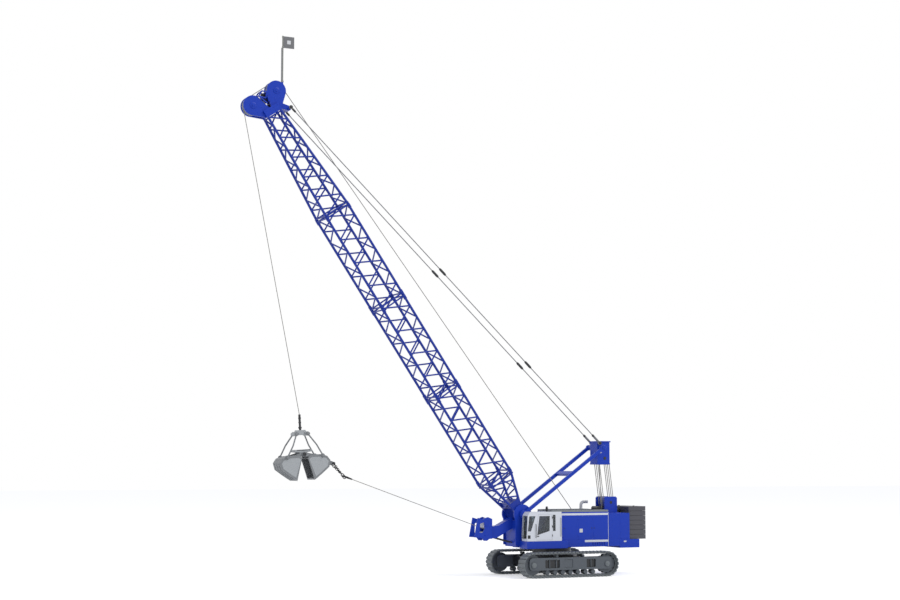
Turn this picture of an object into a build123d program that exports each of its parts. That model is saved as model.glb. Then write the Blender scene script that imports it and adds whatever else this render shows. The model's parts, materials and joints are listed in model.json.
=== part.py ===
from build123d import *
import math
import os

os.makedirs("parts", exist_ok=True)

# Scale model of a crawler crane with a lattice boom and a rope grab, at 1:50.
# All sizes are millimetres of the model. X runs forward, Y to the cab side and Z up.
# The origin is on the slewing axis, on the flat underside of the carbody.
# A value whose name ends in _height is a height above the floor.

# Floor and tracks
belly_height = 8.0
floor_z = -belly_height
track_length = 146.0
track_height = 34.0
track_gauge = 96.5
shoe_width = 17.5
shoe_thickness = 1.6
shoe_length = 4.6
straight_shoes = 20
end_shoes = 9
end_shoe_inset = 0.15
link_width = 9.0
link_thickness = 2.0
wheel_gap = 0.3
wheel_width = 6.0
roller_radius = 3.1
roller_count = 7
roller_pitch = 11.6
carrier_radius = 1.7
carrier_pitch = 40.0
sprocket_teeth = 12
tooth_depth = 1.6
frame_width = 12.0
frame_bottom_height = 10.1
frame_top_height = 26.6
pocket_depth = 2.2

# Carbody and turntable
carbody_length = 64.0
carbody_width = 50.0
carbody_height = 20.0
beam_spacing = 60.0
beam_width = 15.0
beam_bottom = 4.0
beam_top = 17.0
turntable_radius = 28.0
flange_thickness = 2.0
ring_radius = 26.5
ring_height = 7.7
spigot_radius = 20.0
running_gap = 0.05
slew_gap = 0.3

# Superstructure frame
deck_height = 38.0
deck_thickness = 10.0
deck_front = 50.0
deck_rear = -100.0
deck_half_width = 18.9
column_rear = 36.0
column_front = 65.0
cross_wall_front = 63.0
cross_wall_thickness = 6.0
cross_wall_top_height = 75.0
ear_thickness = 2.6
ear_radius = 13.0

# Boom and A-frame pivot
pivot_x = 54.0
pivot_height = 83.7
pin_radius = 3.0
pin_gap = 0.05
side_gap = 0.3

# Cab
cab_front = 58.7
cab_rear = 6.2
cab_inner = 24.3
cab_outer = 40.0
cab_floor_height = 48.0
cab_roof_height = 87.0
cab_wall = 1.2
pane_thickness = 0.6
pane_gap = 0.05
pane_recess = 0.3
console_rear = -3.3

# House
house_front = 3.5
house_rear = -70.3
house_bottom_height = 39.0
house_top_height = 86.0
house_half_width = 34.0
walkway_thickness = 2.5
louvre_count = 6
louvre_pitch = 3.6
louvre_depth = 0.8
rear_block_rear = -104.0
rear_block_step = 2.0
rear_base_front = -88.0
rear_base_rear = -119.5
rear_base_bottom_height = 36.5

# Counterweight
slab_count = 7
slab_gap = 0.3
slab_front = -105.2
slab_rear = -133.0
slab_half_width = 30.0
slab_top_height = 93.0

# Boom
boom_angle = 55.7
boom_half = 17.8
chord_across = 3.4
lacing_across = 2.1
foot_length = 57.0
insert_length = 141.0
insert_count = 3
top_length = 148.0
foot_half_depth = 6.0
foot_half_width = 14.1
top_half_depth = 10.2
top_half_width = 7.6
connector_length = 7.0
connector_across = 4.6
lug_thickness = 3.0

# Boom head: each disc centre is (distance along the boom, offset to its upper side)
disc_front = (651.0, -19.0)
disc_rear = (652.0, 19.7)
disc_radius = 13.0
cheek_inner = 4.2
cheek_thickness = 2.2
sheave_radius = 12.0
rope_radius = 0.5
sheave_groove = 11.0

# Flag on the boom head: the mast's foot is behind and above the rear disc's centre
mast_back = 8.4
mast_rise = 12.1
mast_length = 61.5
mast_boss_length = 7.0
mast_radius = 0.9
flag_width = 14.6
flag_height = 15.5

# A-frame
aframe_angle = 144.3
leg_spacing = 42.0
leg_thickness = 3.4
leg_depth = 4.6
leg_eye_radius = 5.5
cross_at = 93.0
axle_at = 154.5
head_front_reach = 3.8
head_rear_reach = 15.9
head_above_axle = 8.7
head_below_axle = 23.7
head_half_width = 10.0
head_wall = 1.6
head_solid_top = 12.4
block_radius = 7.2
block_rise = 14.1
block_forward = 17.0
cheek_reach = 10.0
upper_sheave_back = 8.0
upper_sheave_drop = 14.9
sheave_total = 5
sheave_pitch = 3.4
sheave_thickness = 2.4
anchor_below_top = 2.6
anchor_behind_front = 2.8
anchor_radius = 1.6

# Pendants
pendant_half_spacing = 12.0
pendant_radius = 0.65
pendant_head_at = (624.0, 22.5)
link_stations = (0.245, 0.526)
pendant_eye_radius = 2.6

# Hoist rope and grab. Places in the grab are (forward, up) from the shells' hinge
grab_eye = (367.2, 213.3)
grab_lean = 3.5
eye_to_hinge = 50.4
eye_pin_radius = 0.9
eye_pin_half = 2.1
eye_gap = 0.2
socket_radius = 1.5
crosshead_top = 31.0
crosshead_outline = (
    (-5.5, 31.0),
    (5.5, 31.0),
    (6.5, 29.0),
    (9.5, 29.0),
    (9.5, 24.5),
    (-9.5, 24.5),
    (-9.5, 29.0),
    (-6.5, 29.0),
)
hinge_pin_radius = 1.5
block_half_width = 9.0
block_outline = (
    (-3.0, -3.0),
    (3.0, -3.0),
    (5.0, 2.4),
    (11.5, 3.2),
    (11.5, 6.0),
    (-11.5, 6.0),
    (-11.5, 3.2),
    (-5.0, 2.4),
)
shell_half_width = 14.0
shell_wall = 1.3
shell_outline = (
    (4.0, -5.0),
    (8.0, -1.0),
    (22.0, -1.2),
    (30.0, -3.8),
    (34.3, -9.5),
    (32.3, -18.0),
    (21.5, -26.5),
    (11.7, -33.0),
)
shell_cavity = (
    (9.0, -2.3),
    (21.8, -2.5),
    (29.2, -4.9),
    (32.9, -9.9),
    (31.0, -17.4),
    (20.8, -25.3),
    (13.0, -31.2),
    (8.5, -31.2),
    (1.0, -6.8),
    (5.0, -6.2),
)
arm_radius = 2.8
arm_thickness = 1.5
rod_top = (7.8, 26.0)
rod_foot = (24.0, -3.0)
rod_top_y = 8.0
rod_foot_y = 15.2
rod_bend_share = 0.5
rod_pin_radius = 1.2
rod_across = 1.7

# Fairlead sheaves as (x, height above the floor); the drag rope runs under the upper one
fairlead_lower = (104.5, 56.5)
fairlead_upper = (103.5, 69.0)
fairlead_sheave_radius = 4.0
rope_gap = 0.1
fairlead_rear = 95.0
fairlead_half_width = 9.0
fairlead_plate = 2.0
fairlead_outline = (
    (95.0, 51.0),
    (95.0, 77.5),
    (101.6, 80.0),
    (109.2, 77.1),
    (116.4, 79.2),
    (121.4, 53.3),
    (110.5, 52.6),
    (107.5, 48.6),
    (103.0, 48.4),
    (99.0, 51.0),
)
fairlead_window = (
    (113.0, 71.5),
    (107.0, 73.0),
    (106.0, 65.0),
    (109.0, 59.4),
    (113.6, 59.0),
)

# Drag rope, its fork, the ring and the two chains
ring_point = (306.0, 135.0)
fork_reach = 5.5
fork_tip = 1.7
fork_inner = 0.95
fork_plate = 0.8
ring_length = 9.0
ring_width = 4.4
ring_wire = 1.1
chain_lug = (-41.3, -14.0)
lug_y = 4.0
lug_plate = 1.2
chain_links = 8
link_across = 2.8
link_wire = 0.9
chain_gap = 0.45


def above_floor(height):
    """Z of a height above the floor."""
    return floor_z + height


def side_plane(y=0.0):
    """Upright plane at a given Y: its own x runs forward and its own y runs up."""
    return Plane.XZ.offset(-y)


def strut(start, end, across, sides=4, turn=0.0):
    """Straight bar of regular section between two points, with its size across the flats."""
    axis = Vector(*end) - Vector(*start)
    with BuildPart() as bar:
        with BuildSketch(Plane(origin=start, z_dir=axis)):
            RegularPolygon(across / 2, sides, major_radius=False, rotation=turn)
        extrude(amount=axis.length)
    return bar.part


def rod(start, end, radius):
    """Straight round bar between two points."""
    axis = Vector(*end) - Vector(*start)
    with BuildPart() as bar:
        with BuildSketch(Plane(origin=start, z_dir=axis)):
            Circle(radius)
        extrude(amount=axis.length)
    return bar.part


def cross_pin(x, z, half_length, radius):
    """Round pin along Y, centred on the middle plane."""
    return rod((x, -half_length, z), (x, half_length, z), radius)


pivot_z = above_floor(pivot_height)
boom_direction = Vector(math.cos(math.radians(boom_angle)), 0, math.sin(math.radians(boom_angle)))
boom_normal = Vector(-boom_direction.Z, 0, boom_direction.X)
leg_direction = Vector(math.cos(math.radians(aframe_angle)), 0, math.sin(math.radians(aframe_angle)))


def boom_point(along, offset, y=0.0):
    """Point in the row frame from a distance along the boom and an offset to its upper side."""
    spot = Vector(pivot_x, y, pivot_z) + boom_direction * along + boom_normal * offset
    return (spot.X, spot.Y, spot.Z)


def boom_plane(y=0.0):
    """Plane of the boom's side: its own x runs along the boom and its own y to the upper side."""
    return Plane(origin=(pivot_x, y, pivot_z), x_dir=boom_direction, z_dir=(0, -1, 0))


def leg_plane(y=0.0):
    """Plane of an A-frame leg's side: its own x runs up the leg."""
    return Plane(origin=(pivot_x, y, pivot_z), x_dir=leg_direction, z_dir=(0, -1, 0))


# Tracks: a link loop with one flat shoe per pitch, all in one fixed solid
end_radius = track_height / 2
loop_radius = end_radius - shoe_thickness - link_thickness
wheel_radius = loop_radius - wheel_gap
wheel_x = track_length / 2 - end_radius
axle_z = above_floor(end_radius)
shoe_path_radius = end_radius - shoe_thickness / 2
straight = 2 * wheel_x
straight_pitch = straight / straight_shoes
end_pitch = 180 / end_shoes

# Each shoe is flat, so the shoes round the ends sit a little lower to keep inside the loop
shoe_locations = []
for index in range(straight_shoes):
    x = -wheel_x + (index + 0.5) * straight_pitch
    shoe_locations.append(Location((x, axle_z - shoe_path_radius, 0)))
    shoe_locations.append(Location((x, axle_z + shoe_path_radius, 0)))
for index in range(end_shoes):
    turn = (index + 0.5) * end_pitch
    reach = shoe_path_radius - end_shoe_inset
    swing = math.radians(turn - 90)
    x = wheel_x + reach * math.cos(swing)
    z = reach * math.sin(swing)
    shoe_locations.append(Location((x, axle_z + z, 0), (0, 0, turn)))
    shoe_locations.append(Location((-x, axle_z + z, 0), (0, 0, -turn)))

for side, label in ((1, "left"), (-1, "right")):
    track_y = side * track_gauge / 2
    with BuildPart() as track:
        with BuildSketch(side_plane(track_y)):
            with Locations((0, axle_z)):
                SlotOverall(straight + 2 * (loop_radius + link_thickness), 2 * (loop_radius + link_thickness))
                SlotOverall(straight + 2 * loop_radius, 2 * loop_radius, mode=Mode.SUBTRACT)
        extrude(amount=link_width / 2, both=True)
        with BuildSketch(side_plane(track_y)):
            with Locations(*shoe_locations):
                Rectangle(shoe_length, shoe_thickness)
        extrude(amount=shoe_width / 2, both=True)
    track.part.label = f"track_{label}"
    export_step(track.part, f"parts/track_{label}.step")

    # Crawler side frame: a box girder, open at both ends for the wheels, with pockets outside
    outer_y = track_y + side * frame_width / 2
    with BuildPart() as crawler_frame:
        with BuildSketch(side_plane(track_y)):
            frame_middle = above_floor((frame_bottom_height + frame_top_height) / 2)
            with Locations((0, frame_middle)):
                RectangleRounded(2 * wheel_x + 13, frame_top_height - frame_bottom_height, 5)
        extrude(amount=frame_width / 2, both=True)
        with BuildSketch(side_plane(track_y)):
            with Locations((wheel_x, axle_z), (-wheel_x, axle_z)):
                Circle(wheel_radius + 1)
        extrude(amount=wheel_width / 2 + wheel_gap, both=True, mode=Mode.SUBTRACT)
        with BuildSketch(side_plane(outer_y)):
            with Locations((-31, frame_middle), (4, frame_middle)):
                RectangleRounded(14, 11, 1.5)
            with Locations((28, frame_middle)):
                RectangleRounded(22, 11, 1.5)
        extrude(amount=side * pocket_depth, mode=Mode.SUBTRACT)
        with BuildSketch(side_plane(outer_y)):
            with Locations((wheel_x, axle_z), (-wheel_x, axle_z)):
                Circle(4.2)
        extrude(amount=-side * 0.9)
    crawler_frame.part.label = f"crawler_frame_{label}"
    export_step(crawler_frame.part, f"parts/crawler_frame_{label}.step")

# Toothed drive wheels at the rear
with BuildPart() as sprockets:
    for track_y in (-track_gauge / 2, track_gauge / 2):
        with BuildSketch(side_plane(track_y)):
            with Locations((-wheel_x, axle_z)):
                Circle(wheel_radius)
                with PolarLocations(wheel_radius, sprocket_teeth):
                    RegularPolygon(tooth_depth, 6, mode=Mode.SUBTRACT)
        extrude(amount=wheel_width / 2, both=True)
sprockets.part.label = "sprockets"
export_step(sprockets.part, "parts/sprockets.step")

# Front idlers, track rollers under the side frames and carrier rollers above them
roller_z = above_floor(shoe_thickness + link_thickness + wheel_gap + roller_radius)
carrier_z = above_floor(track_height - shoe_thickness - link_thickness - wheel_gap - carrier_radius)
with BuildPart() as idlers_and_rollers:
    for track_y in (-track_gauge / 2, track_gauge / 2):
        with BuildSketch(side_plane(track_y)):
            with Locations((wheel_x, axle_z)):
                Circle(wheel_radius)
        extrude(amount=wheel_width / 2, both=True)
        with BuildSketch(side_plane(track_y)):
            with Locations((0, roller_z)):
                with GridLocations(roller_pitch, 0, roller_count, 1):
                    Circle(roller_radius)
            with Locations((0, carrier_z)):
                with GridLocations(carrier_pitch, 0, 2, 1):
                    Circle(carrier_radius)
        extrude(amount=link_width / 2, both=True)
idlers_and_rollers.part.label = "idlers_and_rollers"
export_step(idlers_and_rollers.part, "parts/idlers_and_rollers.step")

# Carbody: an eight-sided box with four legs to the side frames and a round seat on top
with BuildPart() as carbody:
    with BuildSketch(Plane.XY):
        Rectangle(carbody_length, carbody_width)
        chamfer(vertices(), length=12)
    extrude(amount=carbody_height)
    with BuildSketch(Plane.XY.offset(beam_bottom)):
        with GridLocations(beam_spacing, 0, 2, 1):
            Rectangle(beam_width, track_gauge - frame_width)
    extrude(amount=beam_top - beam_bottom)
    with BuildSketch(Plane.XY.offset(carbody_height)):
        Circle(turntable_radius)
    extrude(amount=flange_thickness)
carbody.part.label = "carbody"
export_step(carbody.part, "parts/carbody.step")

ring_z = carbody_height + flange_thickness
with BuildPart() as slew_ring:
    with BuildSketch(Plane.XY.offset(ring_z)):
        Circle(ring_radius)
        Circle(spigot_radius + running_gap, mode=Mode.SUBTRACT)
    extrude(amount=ring_height)
slew_ring.part.label = "slew_ring"
export_step(slew_ring.part, "parts/slew_ring.step")

# Main frame: deck beam with the counterweight base across its rear end, turntable spigot,
# and the two column plates with the pivot ears
deck_z = above_floor(deck_height)
deck_top = deck_z + deck_thickness
deck_middle = (deck_front + deck_rear) / 2
plate_middle = deck_half_width - ear_thickness / 2
with BuildPart() as main_frame:
    with BuildSketch(Plane.XY.offset(deck_z)):
        with Locations((deck_middle, 0)):
            Rectangle(deck_front - deck_rear, 2 * deck_half_width)
    extrude(amount=deck_thickness)
    with BuildSketch(Plane.XY.offset(above_floor(rear_base_bottom_height))):
        with Locations(((rear_base_front + rear_base_rear) / 2, 0)):
            Rectangle(rear_base_front - rear_base_rear, 2 * house_half_width)
    extrude(amount=deck_top - above_floor(rear_base_bottom_height))
    with BuildSketch(Plane.XY.offset(ring_z + slew_gap)):
        Circle(spigot_radius)
    extrude(amount=deck_z - ring_z - slew_gap)
    for side in (-1, 1):
        with BuildSketch(side_plane(side * plate_middle)):
            with BuildLine():
                Polyline(
                    (column_rear, deck_z),
                    (column_front, deck_z + 4),
                    (column_front, pivot_z),
                    (pivot_x - ear_radius, pivot_z),
                    close=True,
                )
            make_face()
            with Locations((pivot_x, pivot_z)):
                Circle(ear_radius)
                Circle(pin_radius, mode=Mode.SUBTRACT)
        extrude(amount=ear_thickness / 2, both=True)
    with BuildSketch(Plane.XY.offset(deck_z + 2)):
        with Locations((cross_wall_front - cross_wall_thickness / 2, 0)):
            Rectangle(cross_wall_thickness, 2 * (deck_half_width - ear_thickness))
    extrude(amount=above_floor(cross_wall_top_height) - deck_z - 2)
main_frame.part.label = "main_frame"
export_step(main_frame.part, "parts/main_frame.step")

# Pivot pins through the ears, shared by the boom foot and the A-frame legs
leg_outer = leg_spacing / 2 + leg_thickness / 2
foot_outer = deck_half_width - ear_thickness - side_gap
foot_inner = foot_outer - lug_thickness
with BuildPart() as pivot_pins:
    for side in (-1, 1):
        with BuildSketch(side_plane(side * foot_inner)):
            with Locations((pivot_x, pivot_z)):
                Circle(pin_radius)
        extrude(amount=-side * (leg_outer - foot_inner + 0.4))
pivot_pins.part.label = "pivot_pins"
export_step(pivot_pins.part, "parts/pivot_pins.step")

# Cab console: the blue base that carries the cab beside the deck
with BuildPart() as cab_console:
    with BuildSketch(Plane.XY.offset(deck_z)):
        with Locations(((cab_front + console_rear) / 2, (deck_half_width + cab_outer) / 2)):
            Rectangle(cab_front - console_rear, cab_outer - deck_half_width)
    extrude(amount=above_floor(cab_floor_height) - deck_z)
    with BuildSketch(Plane.XY.offset(deck_z)):
        with Locations(((house_front + console_rear) / 2, (deck_half_width + house_half_width) / 2)):
            Rectangle(house_front - console_rear, house_half_width - deck_half_width)
    extrude(amount=above_floor(cab_floor_height) - deck_z, mode=Mode.SUBTRACT)
cab_console.part.label = "cab_console"
export_step(cab_console.part, "parts/cab_console.step")

# Cab shell: one moulded wall with its window openings cut
cab_z = above_floor(cab_floor_height)
cab_top = above_floor(cab_roof_height)
cab_middle = (cab_inner + cab_outer) / 2
cab_half = (cab_outer - cab_inner) / 2
cab_outline = (
    (cab_rear, cab_z),
    (cab_front - 0.6, cab_z),
    (cab_front, cab_z + 6),
    (cab_front - 1.6, cab_top - 4),
    (cab_front - 5, cab_top),
    (cab_rear, cab_top),
)
# Side windows: corners of each opening as (x, height above the floor)
side_windows = (
    ((54.9, 80.9), (46.6, 80.9), (53.1, 61.7), (57.0, 61.7)),
    ((39.6, 80.9), (24.7, 80.9), (25.0, 61.7), (42.9, 56.6)),
    ((19.1, 82.5), (15.9, 82.5), (15.9, 61.7), (19.1, 61.7)),
)
inner_window = ((50.0, 80.9), (22.0, 80.9), (22.0, 62.0), (52.0, 62.0))
front_window_low = 52.0
front_window_high = 81.0
front_window_side = 2.4


def pane_outline(corners, shrink=0.0):
    """Face of a window opening in the side view, drawn in by a small gap."""
    with BuildSketch() as face:
        with BuildLine():
            Polyline(*[(x, above_floor(height)) for x, height in corners], close=True)
        make_face()
        if shrink:
            offset(amount=-shrink, kind=Kind.INTERSECTION)
    return face.sketch


with BuildPart() as cab_shell:
    with BuildSketch(side_plane(cab_middle)):
        with BuildLine():
            Polyline(*cab_outline, close=True)
        make_face()
    extrude(amount=cab_half, both=True)
    with BuildSketch(side_plane(cab_middle)):
        with BuildLine():
            Polyline(*cab_outline, close=True)
        make_face()
        offset(amount=-cab_wall, kind=Kind.INTERSECTION)
    extrude(amount=cab_half - cab_wall, both=True, mode=Mode.SUBTRACT)
    for corners in side_windows:
        with BuildSketch(side_plane(cab_outer)):
            add(pane_outline(corners))
        extrude(amount=2 * cab_wall, mode=Mode.SUBTRACT)
    with BuildSketch(side_plane(cab_inner)):
        add(pane_outline(inner_window))
    extrude(amount=-2 * cab_wall, mode=Mode.SUBTRACT)
    with BuildSketch(Plane.YZ.offset(cab_front + 1)):
        with Locations((cab_middle, above_floor((front_window_low + front_window_high) / 2))):
            Rectangle(2 * (cab_half - front_window_side), front_window_high - front_window_low)
    extrude(amount=-6, mode=Mode.SUBTRACT)
cab_shell.part.label = "cab_shell"
export_step(cab_shell.part, "parts/cab_shell.step")

# Cab windows: clear panes let into the openings
with BuildPart() as cab_windows:
    for corners in side_windows:
        with BuildSketch(side_plane(cab_outer - pane_recess)):
            add(pane_outline(corners, pane_gap))
        extrude(amount=pane_thickness)
    with BuildSketch(side_plane(cab_inner + pane_recess)):
        add(pane_outline(inner_window, pane_gap))
    extrude(amount=-pane_thickness)
    with BuildSketch(Plane.YZ.offset(cab_front - 3.1)):
        with Locations((cab_middle, above_floor((front_window_low + front_window_high) / 2))):
            Rectangle(2 * (cab_half - front_window_side - pane_gap), front_window_high - front_window_low - 0.1)
    extrude(amount=pane_thickness)
cab_windows.part.label = "cab_windows"
export_step(cab_windows.part, "parts/cab_windows.step")

# Seat and control box inside the cab
seat_x = 30.0
with BuildPart() as cab_seat:
    with BuildSketch(side_plane(cab_middle)):
        floor_line = cab_z + cab_wall
        with BuildLine():
            Polyline(
                (seat_x - 6, floor_line),
                (seat_x + 4, floor_line),
                (seat_x + 4, floor_line + 7),
                (seat_x + 8, floor_line + 8),
                (seat_x + 8, floor_line + 11),
                (seat_x - 3, floor_line + 11),
                (seat_x - 5, floor_line + 26),
                (seat_x - 8, floor_line + 26),
                (seat_x - 7, floor_line + 8),
                close=True,
            )
        make_face()
    extrude(amount=3.6, both=True)
    with BuildSketch(side_plane(cab_middle)):
        with Locations((seat_x + 17, floor_line + 5)):
            Rectangle(3, 10)
    extrude(amount=4.5, both=True)
cab_seat.part.label = "cab_seat"
export_step(cab_seat.part, "parts/cab_seat.step")

# Lamp post on the cab roof
lamp_x = 25.0
lamp_y = 33.0
with BuildPart() as roof_lamp:
    with BuildSketch(Plane.XY.offset(cab_top)):
        with Locations((lamp_x, lamp_y)):
            Circle(1.3)
    extrude(amount=2)
    with BuildSketch(Plane.XY.offset(cab_top + 2)):
        with Locations((lamp_x, lamp_y)):
            Circle(1.9)
    extrude(amount=5, taper=8)
roof_lamp.part.label = "roof_lamp"
export_step(roof_lamp.part, "parts/roof_lamp.step")

# Machine houses left and right of the deck, with louvres in the outer panels
house_z = above_floor(house_bottom_height)
house_top = above_floor(house_top_height)
house_length = house_front - house_rear
house_x = (house_front + house_rear) / 2
house_width = house_half_width - deck_half_width
for side, label in ((1, "left"), (-1, "right")):
    house_y = side * (house_half_width + deck_half_width) / 2
    with BuildPart() as house:
        with BuildSketch(Plane.XY.offset(house_z)):
            with Locations((house_x, house_y)):
                Rectangle(house_length, house_width)
        extrude(amount=house_top - house_z)
        with BuildSketch(side_plane(side * house_half_width)):
            with Locations((house_rear + 16, house_z + 3.6)):
                with GridLocations(louvre_pitch, 0, louvre_count, 1):
                    Rectangle(1.6, 4)
        extrude(amount=side * louvre_depth, mode=Mode.SUBTRACT)
    house.part.label = f"house_{label}"
    export_step(house.part, f"parts/house_{label}.step")

# Fuel tank and step box in front of the right house
with BuildPart() as fuel_tank:
    with BuildSketch(Plane.XY.offset(house_z)):
        with Locations(((house_front + deck_front) / 2 + 2, -(house_half_width + deck_half_width) / 2)):
            Rectangle(deck_front - house_front - 4, house_width)
    extrude(amount=24)
    fillet(fuel_tank.edges().filter_by(Axis.X).group_by(Axis.Z)[-1], radius=3)
fuel_tank.part.label = "fuel_tank"
export_step(fuel_tank.part, "parts/fuel_tank.step")

# Roof walkways over both houses and over the rear of the cab
with BuildPart() as roof_walkways:
    for house_y in (-(house_half_width + deck_half_width) / 2, (house_half_width + deck_half_width) / 2):
        with BuildSketch(Plane.XY.offset(house_top)):
            with Locations((house_x, house_y)):
                Rectangle(house_length, house_width)
        extrude(amount=walkway_thickness)
    with BuildSketch(Plane.XY.offset(cab_top)):
        with Locations(((cab_rear + lamp_x - 4) / 2, cab_middle)):
            Rectangle(lamp_x - 4 - cab_rear, 2 * cab_half)
    extrude(amount=1.5)
roof_walkways.part.label = "roof_walkways"
export_step(roof_walkways.part, "parts/roof_walkways.step")

# Rear block behind the houses, seated over the deck and the counterweight base
rear_top = house_top - rear_block_step
with BuildPart() as rear_block:
    with BuildSketch(Plane.XY.offset(house_z)):
        with Locations(((house_rear + rear_block_rear) / 2, 0)):
            Rectangle(house_rear - rear_block_rear, 2 * house_half_width)
    extrude(amount=rear_top - house_z)
    with BuildSketch(Plane.XY.offset(house_z)):
        with Locations(((house_rear + deck_rear) / 2, 0)):
            Rectangle(house_rear - deck_rear, 2 * deck_half_width)
    extrude(amount=deck_top - house_z, mode=Mode.SUBTRACT)
    with BuildSketch(Plane.XY.offset(house_z)):
        with Locations(((rear_base_front + rear_block_rear) / 2, 0)):
            Rectangle(rear_base_front - rear_block_rear, 2 * house_half_width)
    extrude(amount=deck_top - house_z, mode=Mode.SUBTRACT)
rear_block.part.label = "rear_block"
export_step(rear_block.part, "parts/rear_block.step")

# Counterweight: a stack of equal slabs with rounded corners
slab_bottom = deck_top
slab_pitch = (above_floor(slab_top_height) - slab_bottom) / slab_count
with BuildPart() as counterweight:
    for index in range(slab_count):
        with BuildSketch(Plane.XY.offset(slab_bottom + index * slab_pitch)):
            with Locations(((slab_front + slab_rear) / 2, 0)):
                RectangleRounded(slab_front - slab_rear, 2 * slab_half_width, 2)
        extrude(amount=slab_pitch - slab_gap)
counterweight.part.label = "counterweight"
export_step(counterweight.part, "parts/counterweight.step")

# Winch drums between the houses
drum_radius = 9.0
drum_flange = 12.0
with BuildPart() as winch_drums:
    for drum_x in (-10.0, -38.0):
        with BuildSketch(side_plane(0)):
            with Locations((drum_x, deck_top + drum_flange + 0.2)):
                Circle(drum_radius)
        extrude(amount=deck_half_width - 0.2, both=True)
        for flange_y in (-13.0, 13.0):
            with BuildSketch(side_plane(flange_y)):
                with Locations((drum_x, deck_top + drum_flange + 0.2)):
                    Circle(drum_flange)
            extrude(amount=0.8, both=True)
winch_drums.part.label = "winch_drums"
export_step(winch_drums.part, "parts/winch_drums.step")

# Exhaust gooseneck on the right house roof
walkway_top = house_top + walkway_thickness
with BuildPart() as exhaust:
    with BuildLine():
        FilletPolyline(
            (-60.0, -24.0, walkway_top),
            (-60.0, -24.0, walkway_top + 10),
            (-70.0, -24.0, walkway_top + 10),
            radius=5,
        )
    with BuildSketch(Plane((-60.0, -24.0, walkway_top))):
        Circle(2.2)
    sweep()
exhaust.part.label = "exhaust"
export_step(exhaust.part, "parts/exhaust.step")

# Lower reeving block on its two cheeks, on top of the rear block
block_x = rear_block_rear + block_forward
block_z = rear_top + block_rise
with BuildPart() as lower_block:
    for side in (-1, 1):
        with BuildSketch(side_plane(side * (head_half_width + 1.5))):
            with BuildLine():
                Polyline(
                    (block_x - cheek_reach, rear_top),
                    (block_x + cheek_reach, rear_top),
                    (block_x + cheek_reach, block_z + block_radius - 1),
                    (block_x + cheek_reach - 2, block_z + block_radius + 0.8),
                    (block_x - cheek_reach + 2, block_z + block_radius + 0.8),
                    (block_x - cheek_reach, block_z + block_radius - 1),
                    close=True,
                )
            make_face()
        extrude(amount=1.2, both=True)
    with BuildSketch(side_plane(0)):
        with Locations((block_x, block_z)):
            Circle(2)
    extrude(amount=head_half_width + 1.5, both=True)
    for index in range(sheave_total):
        with BuildSketch(side_plane((index - (sheave_total - 1) / 2) * sheave_pitch)):
            with Locations((block_x, block_z)):
                Circle(block_radius)
        extrude(amount=sheave_thickness / 2, both=True)
lower_block.part.label = "lower_block"
export_step(lower_block.part, "parts/lower_block.step")

# Fairlead arm, frame, sheaves and stay
with BuildPart() as fairlead_arm:
    with BuildSketch(side_plane(0)):
        with BuildLine():
            Polyline(
                (cross_wall_front, above_floor(64.5)),
                (cross_wall_front, above_floor(79.0)),
                (84.0, above_floor(68.5)),
                (95.0, above_floor(67.0)),
                (95.0, above_floor(51.5)),
                (88.0, above_floor(51.4)),
                close=True,
            )
        make_face()
    extrude(amount=6.0, both=True)
    for y in (-4.0, 4.0):
        add(rod((cross_wall_front, y, above_floor(45.5)), (89.5, y, above_floor(52.5)), 0.8))
fairlead_arm.part.label = "fairlead_arm"
export_step(fairlead_arm.part, "parts/fairlead_arm.step")

# Two side plates with a window each, joined by a rear wall
with BuildPart() as fairlead_frame:
    with BuildSketch(side_plane(0)):
        with BuildLine():
            Polyline(*[(x, above_floor(height)) for x, height in fairlead_outline], close=True)
        make_face()
        with BuildLine():
            Polyline(*[(x, above_floor(height)) for x, height in fairlead_window], close=True)
        make_face(mode=Mode.SUBTRACT)
    extrude(amount=fairlead_half_width, both=True)
    with BuildSketch(side_plane(0)):
        with Locations((fairlead_rear + fairlead_plate + 1 + 20, above_floor(65))):
            Rectangle(40, 40)
    extrude(amount=fairlead_half_width - fairlead_plate, both=True, mode=Mode.SUBTRACT)
fairlead_frame.part.label = "fairlead_frame"
export_step(fairlead_frame.part, "parts/fairlead_frame.step")

with BuildPart() as fairlead_sheaves:
    with BuildSketch(side_plane(0)):
        with Locations(*[(x, above_floor(height)) for x, height in (fairlead_lower, fairlead_upper)]):
            Circle(fairlead_sheave_radius)
    extrude(amount=fairlead_half_width - fairlead_plate - rope_gap, both=True)
fairlead_sheaves.part.label = "fairlead_sheaves"
export_step(fairlead_sheaves.part, "parts/fairlead_sheaves.step")

# A-frame: two legs, a cross member and the head with its sheaves
for side, label in ((1, "left"), (-1, "right")):
    with BuildPart() as leg:
        with BuildSketch(leg_plane(side * leg_spacing / 2)):
            with Locations((axle_at / 2, 0)):
                Rectangle(axle_at, leg_depth)
            Circle(leg_eye_radius)
            with Locations((axle_at, 0)):
                Circle(leg_depth / 2 + 1.5)
            Circle(pin_radius + pin_gap, mode=Mode.SUBTRACT)
        extrude(amount=leg_thickness / 2, both=True)
    leg.part.label = f"aframe_leg_{label}"
    export_step(leg.part, f"parts/aframe_leg_{label}.step")

leg_inner = leg_spacing / 2 - leg_thickness / 2
with BuildPart() as aframe_cross:
    with BuildSketch(leg_plane(0)):
        with Locations((cross_at, 0)):
            Rectangle(7, 3.6)
    extrude(amount=leg_inner, both=True)
aframe_cross.part.label = "aframe_cross"
export_step(aframe_cross.part, "parts/aframe_cross.step")

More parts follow.
